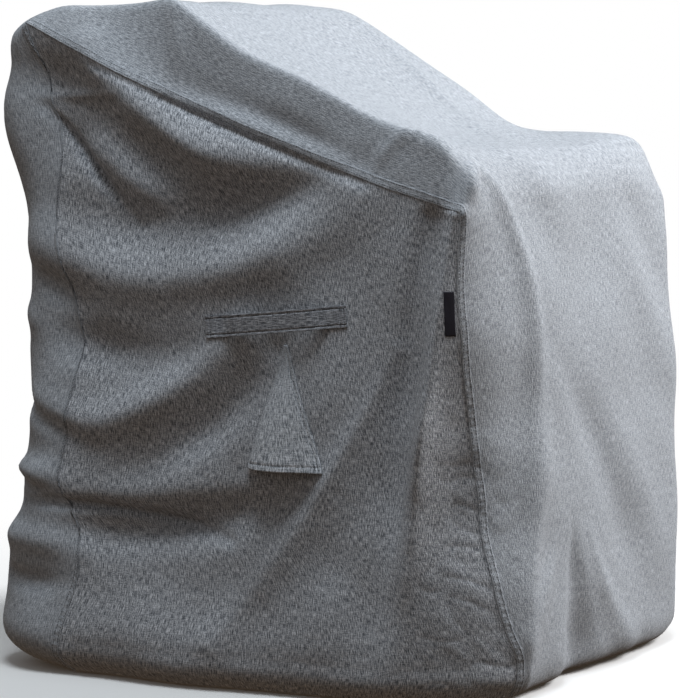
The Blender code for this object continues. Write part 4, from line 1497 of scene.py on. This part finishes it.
@dataclass(frozen=True)
class Handle:
    """Flat strap sewn down at both ends, standing off the panel between them."""

    start: tuple[float, float] = (0.039, 0.496)
    end: tuple[float, float] = (-0.171, 0.518)
    length: float = 0.211
    width: float = 0.030
    thick: float = 2.0 * MM
    bow: float = 0.017
    fullness: float = 0.5               # below 1 the bow is flatter in the middle
    sewn: float = 0.10                  # share of the length sewn down at each end
    lift_off: float = 0.14              # share over which it then rises from the panel
    anchors: tuple[float, float] = (0.05, 0.95)     # where the bow's ends are read
    hem: float = 4.0 * MM               # distance of the long grooves from the edges
    groove: float = 1.1 * MM            # depth to which the stitching draws the strap in
    groove_width: float = 1.0 * MM
    divisions: tuple[int, int] = (216, 44)
    rows: StitchRows = StitchRows((((0.01, 0.13), (0.99, 0.13)), ((0.01, 0.87), (0.99, 0.87)),
                                   ((0.035, 0.13), (0.035, 0.87)),
                                   ((0.955, 0.13), (0.955, 0.87)),
                                   ((0.985, 0.13), (0.985, 0.87))))

    def middle(self, share: float) -> Array:
        """Return the strap's middle line at a share of its length, as (y, z)."""
        return np.array(self.start) + (np.array(self.end) - np.array(self.start)) * share

    def build(self, side: Side, reader: PanelReader, maker: MeshMaker,
              finishes: Finishes) -> tuple[bpy.types.Object, bpy.types.Object]:
        """Build the strap on a panel.

        Args:
            side: The panel's side.
            reader: Reads the panel's face.
            maker: Turns points into objects.
            finishes: The finishes.

        Returns:
            The strap, and its stitches.
        """
        steps, across = self.divisions
        ends = [first * self.length for (first, _), (last, _) in self.rows.tracks
                if first == last]
        run = np.array(self.end) - np.array(self.start)
        aside = np.array([-run[1], run[0]]) / np.linalg.norm(run)
        base = [reader.reach(*self.middle(share)) for share in self.anchors]
        grid = np.zeros((steps + 1, across + 1, 3))
        for i in range(steps + 1):
            share = i / steps
            down = 1 - ease((min(share, 1 - share) - self.sewn) / self.lift_off)
            arch = math.sin(math.pi * share) ** self.fullness * self.bow
            for j in range(across + 1):
                offset = (j / across - 0.5) * self.width
                y, z = self.middle(share) + aside * offset
                panel = reader.reach(y, z) + SEAT_GAP
                free = max(base[0] + (base[1] - base[0]) * share + arch, panel)
                cuts = [(self.width / 2 - abs(offset) - self.hem) / self.groove_width]
                cuts += [(share * self.length - place) / self.groove_width for place in ends]
                sunk = max(math.exp(-cut ** 2) for cut in cuts)
                x = down * panel + (1 - down) * free + self.thick - self.groove * sunk
                grid[i, j] = (x * side.value, y, z)
        surface = Surface(grid, -float(side.value))
        name = side.name.lower()
        strap = maker.sheet("handle_strap_" + name, surface, self.thick, finishes.webbing)
        return strap, self.rows.build("handle_stitches_" + name, surface, maker,
                                      finishes.thread)


@dataclass(frozen=True)
class VentHood:
    """Triangular hood sewn along both slanting edges, open along its foot."""

    apex: tuple[float, float] = (-0.077, 0.484)
    rear_foot: tuple[float, float] = (-0.030, 0.308)
    front_foot: tuple[float, float] = (-0.145, 0.306)
    thick: float = 1.0 * MM
    bow: float = 0.027
    flare: float = 1.2                  # above 1 the bow grows mostly near the foot
    lean: float = 0.7                   # below 1 its highest line lies nearer the rear edge
    fullness: float = 0.8               # below 1 it is round rather than peaked
    tip: float = 0.05                   # share of the height left off at the apex
    length: float = 0.178               # rough height of the hood
    foot_width: float = 0.110           # rough width of its foot
    edge_row: float = 5.0 * MM          # distance of the slanting grooves from the edges
    edge_spread: float = 1.6 * MM
    hem_row: float = 8.0 * MM           # distance of the foot's groove from its edge
    hem_spread: float = 1.0 * MM
    groove: float = 1.3 * MM
    divisions: tuple[int, int] = (110, 64)
    rows: StitchRows = StitchRows((((0.16, 0.91), (0.99, 0.965)), ((0.20, 0.82), (0.99, 0.93)),
                                   ((0.955, 0.04), (0.955, 0.96))))

    def build(self, side: Side, reader: PanelReader, maker: MeshMaker,
              finishes: Finishes) -> tuple[bpy.types.Object, bpy.types.Object]:
        """Build the hood on a panel.

        Args:
            side: The panel's side.
            reader: Reads the panel's face.
            maker: Turns points into objects.
            finishes: The finishes.

        Returns:
            The hood, and its stitches.
        """
        steps, across = self.divisions
        grid = np.zeros((steps + 1, across + 1, 3))
        apex, rear, front = (np.array(p) for p in (self.apex, self.rear_foot, self.front_foot))
        for i in range(steps + 1):
            share = self.tip + (1 - self.tip) * i / steps
            a, b = apex + (rear - apex) * share, apex + (front - apex) * share
            for j in range(across + 1):
                y, z = a + (b - a) * j / across
                round_off = math.sin(math.pi * (j / across) ** self.lean) ** self.fullness
                stand = self.bow * share ** self.flare * round_off
                aside = min(j, across - j) / across * share * self.foot_width
                edge = (aside - self.edge_row) / self.edge_spread
                hem = ((1 - share) * self.length - self.hem_row) / self.hem_spread
                sunk = self.groove * (math.exp(-edge ** 2) + math.exp(-hem ** 2))
                x = reader.reach(y, z) + SEAT_GAP + self.thick + max(stand - sunk, 0)
                grid[i, j] = (x * side.value, y, z)
        surface = Surface(grid, float(side.value))
        name = side.name.lower()
        hood = maker.sheet("vent_hood_cloth_" + name, surface, self.thick, finishes.hood)
        return hood, self.rows.build("vent_stitches_" + name, surface, maker, finishes.thread)


@dataclass(frozen=True)
class SideLabel:
    """Small folded label beside the left front seam, left bare."""

    top: tuple[float, float] = (-0.3290, 0.556)
    foot: tuple[float, float] = (-0.3300, 0.497)
    width: float = 0.015
    thick: float = 0.8 * MM
    gap: float = 0.3 * MM
    divisions: tuple[int, int] = (40, 12)
    reads: int = 25                     # points at which each row is read from the panel

    def build(self, reader: PanelReader, maker: MeshMaker,
              material: bpy.types.Material) -> bpy.types.Object:
        """Build the label on the left panel.

        Args:
            reader: Reads the panel's face.
            maker: Turns points into objects.
            material: The finish.

        Returns:
            The label.
        """
        steps, across = self.divisions
        grid = np.zeros((steps + 1, across + 1, 3))
        top, foot = np.array(self.top), np.array(self.foot)
        for i in range(steps + 1):
            y0, z = top + (foot - top) * i / steps
            depths = y0 + np.linspace(0, self.width, self.reads)
            line = np.array([(-reader.reach(y, z) - self.gap - self.thick, y, z)
                             for y in depths])
            share = np.linspace(0, self.width / lengths_along(line)[-1], across + 1)
            grid[i] = read_line(line, share)
        return maker.sheet("side_label_tab", Surface(grid, 1.0), self.thick, material)


@dataclass(frozen=True)
class SoftBox:
    """A square soft light: the way from the cover to it, its width, watts and colour."""

    name: str
    aim: tuple[float, float, float]
    size: float
    power: float
    colour: tuple[float, float, float]


class Studio:
    """Camera, soft lights and pale floor."""

    LOOK_FROM = (-3.9574, -2.0357, 0.844)
    LOOK_AT = (-0.0054, 0.0133, 0.439)
    LENS = 161.5
    SENSOR = 36.0
    LIGHTS = (SoftBox("key_soft_box", (0.47, -0.64, 0.49), 1.6, 202, (1.0, 1.0, 1.0)),
              SoftBox("top_soft_box", (-0.27, -0.12, 0.955), 1.8, 110, (0.85, 0.92, 0.97)))
    REACH = 4.0                         # distance of the lights
    LIT_HEIGHT = 0.45                   # height of the place they are turned to
    GROUND = (0.105, 0.066, 0.036)
    SKY = (0.26, 0.26, 0.26)
    HORIZON = (0.5, -0.6)               # slopes down and up past which only one of them shines
    FLOOR_WIDTH = 12
    FLOOR_DROP = 2 * MM
    FLOOR_FADE = (0.65, 1.5)            # distances between which the floor fades away
    PAPER = (0.85, 0.85, 0.85)
    PAPER_ROUGHNESS = 0.9

    def camera(self) -> None:
        """Add the camera."""
        data = bpy.data.cameras.new("camera")
        data.lens = self.LENS
        data.sensor_width = self.SENSOR
        data.sensor_fit = "HORIZONTAL"
        data.clip_start = 0.1
        camera = bpy.data.objects.new("camera", data)
        camera.location = self.LOOK_FROM
        aim = Vector(self.LOOK_AT) - Vector(self.LOOK_FROM)
        camera.rotation_euler = aim.to_track_quat("-Z", "Y").to_euler()
        bpy.context.scene.collection.objects.link(camera)
        bpy.context.scene.camera = camera

    def light(self, box: SoftBox) -> None:
        """Add a soft light.

        Args:
            box: The light.
        """
        data = bpy.data.lights.new(box.name, "AREA")
        data.shape = "SQUARE"
        data.size = box.size
        data.energy = box.power
        data.color = box.colour
        lamp = bpy.data.objects.new(box.name, data)
        aim = Vector(box.aim)
        lamp.location = aim.normalized() * self.REACH + Vector((0, 0, self.LIT_HEIGHT))
        lamp.rotation_euler = aim.to_track_quat("Z", "Y").to_euler()
        bpy.context.scene.collection.objects.link(lamp)

    def world(self) -> None:
        """Set a white backdrop whose own light is weak: warm from below, grey from above."""
        world = bpy.data.worlds.new("studio")
        bpy.context.scene.world = world
        world.use_nodes = True
        tree = world.node_tree
        weak = tree.nodes["Background"]
        aim = add_node(tree, "ShaderNodeNewGeometry", {}).outputs["Incoming"]
        height = add_node(tree, "ShaderNodeSeparateXYZ", {0: aim}).outputs["Z"]
        down, up = self.HORIZON
        sky = add_node(tree, "ShaderNodeMapRange",
                       {"Value": height, "From Min": down, "From Max": up},
                       interpolation_type="SMOOTHSTEP").outputs[0]
        blend = add_node(tree, "ShaderNodeMix", {0: sky, 6: (*self.GROUND, 1),
                                                 7: (*self.SKY, 1)}, data_type="RGBA")
        tree.links.new(blend.outputs[2], weak.inputs["Color"])
        white = add_node(tree, "ShaderNodeBackground", {"Color": (1, 1, 1, 1)})
        seen = add_node(tree, "ShaderNodeLightPath", {}).outputs["Is Camera Ray"]
        mix = add_node(tree, "ShaderNodeMixShader", {0: seen, 1: weak.outputs[0],
                                                     2: white.outputs[0]})
        tree.links.new(mix.outputs[0], tree.nodes["World Output"].inputs["Surface"])

    def floor(self) -> None:
        """Add the floor, which is seen but throws no light back up."""
        bpy.ops.object.select_all(action="DESELECT")
        bpy.ops.mesh.primitive_plane_add(size=self.FLOOR_WIDTH,
                                         location=(0, 0, -self.FLOOR_DROP))
        floor = bpy.context.object
        floor.name = "studio_floor"
        material, tree, shader = new_material("matt_paper_white")
        shader.inputs["Base Color"].default_value = (*self.PAPER, 1)
        shader.inputs["Roughness"].default_value = self.PAPER_ROUGHNESS
        place = add_node(tree, "ShaderNodeTexCoord", {}).outputs["Object"]
        away = add_node(tree, "ShaderNodeVectorMath", {0: place}, operation="LENGTH")
        start, end = self.FLOOR_FADE
        fade = add_node(tree, "ShaderNodeMapRange",
                        {"Value": away.outputs["Value"], "From Min": start, "From Max": end},
                        interpolation_type="SMOOTHSTEP")
        clear = add_node(tree, "ShaderNodeBsdfTransparent", {})
        mix = add_node(tree, "ShaderNodeMixShader", {0: fade.outputs[0], 1: shader.outputs[0],
                                                     2: clear.outputs[0]})
        tree.links.new(mix.outputs[0], tree.nodes["Material Output"].inputs["Surface"])
        floor.data.materials.append(material)
        floor.visible_diffuse = False
        floor.visible_glossy = False

    def build(self) -> None:
        """Set up everything."""
        self.camera()
        for box in self.LIGHTS:
            self.light(box)
        self.world()
        self.floor()
        bpy.context.scene.view_settings.view_transform = "Standard"


class Cover:
    """The whole cover."""

    NEAR = (267, 241)                   # rows and columns of the panel with the label
    FAR = (191, 171)                    # and of the other one
    STRIP = (161, 157, 153)             # rows of each wall, rows over the top, and columns
    TURNED = (13, 9)                    # rows below the hem of a panel, and of the strip
    CLOSE = (4, 8)                      # close columns at each edge of them
    CLOSE_WIDTH = (0.012, 0.016)        # and the width that these take
    WIDTH = (0.72, 0.90)                # rough width of a panel, and of the strip

    def __init__(self) -> None:
        """Prepare the tools and finishes."""
        self.form = PlainForm()
        self.drape = Drape(self.form)
        self.maker = MeshMaker()
        self.finishes = Finishes()

    def declare(self, piece: bpy.types.Object, node: str) -> None:
        """Ride a piece on the cover's body, hide the CAD part that it stands for, and log its
        faces.

        Args:
            piece: The piece.
            node: The CAD node that it stands for.
        """
        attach(piece, "root")
        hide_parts(node)
        log.info("%s: %d faces", piece.name, len(piece.data.polygons))

    def panel(self, side: Side, size: tuple[int, int]) -> bpy.types.Object:
        """Build a side panel.

        Args:
            side: Its side.
            size: Its rows and columns.

        Returns:
            The panel.
        """
        rows, columns = size
        turned, close = self.TURNED[0], self.CLOSE[0]
        steps = edge_dense(close, self.CLOSE_WIDTH[0], columns - 1 - 2 * close, self.WIDTH[0])
        plain = self.form.side_grid(side, Rows(turned, rows - turned), steps)
        surface = Surface(self.drape.hang(plain), -float(side.value))
        name = side.name.lower()
        piece = self.maker.sheet("side_cloth_" + name, surface, CLOTH_THICK, self.finishes.side)
        self.declare(piece, "side_panel_" + name)
        return piece

    def strip(self) -> None:
        """Build the strip, and its seams to the side panels."""
        walls, deck, columns = self.STRIP
        turned, close = self.TURNED[1], self.CLOSE[1]
        steps = edge_dense(close, self.CLOSE_WIDTH[1], columns - 1 - 2 * close, self.WIDTH[1])
        plain = self.form.strip_grid(Rows(turned, walls - turned), deck, steps)
        surface = Surface(self.drape.hang(plain), 1.0)
        cloth = self.maker.sheet("strip_cloth", surface, CLOTH_THICK, self.finishes.strip)
        self.declare(cloth, "centre_strip")
        seams = SeamMaker(surface, Seam())
        for side in Side:
            for piece in seams.build(side, self.maker, self.finishes.strip,
                                     self.finishes.thread):
                self.declare(piece, "centre_strip")

    def build(self) -> None:
        """Build every piece of the cover."""
        self.strip()
        for side, size in ((Side.LEFT, self.NEAR), (Side.RIGHT, self.FAR)):
            panel = self.panel(side, size)
            reader = PanelReader(panel, side)
            name = side.name.lower()
            strap, sewing = Handle().build(side, reader, self.maker, self.finishes)
            self.declare(strap, "handle_" + name)
            self.declare(sewing, "handle_" + name)
            hood, sewing = VentHood().build(side, reader, self.maker, self.finishes)
            self.declare(hood, "vent_hood_" + name)
            self.declare(sewing, "vent_hood_" + name)
            if side is Side.LEFT:
                label = SideLabel().build(reader, self.maker, self.finishes.label)
                self.declare(label, "side_label")


def main() -> None:
    """Build the cover in its studio."""
    logging.basicConfig(level=logging.INFO, format="%(name)s: %(message)s")
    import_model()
    Studio().build()
    Cover().build()


if __name__ == "__main__":
    main()
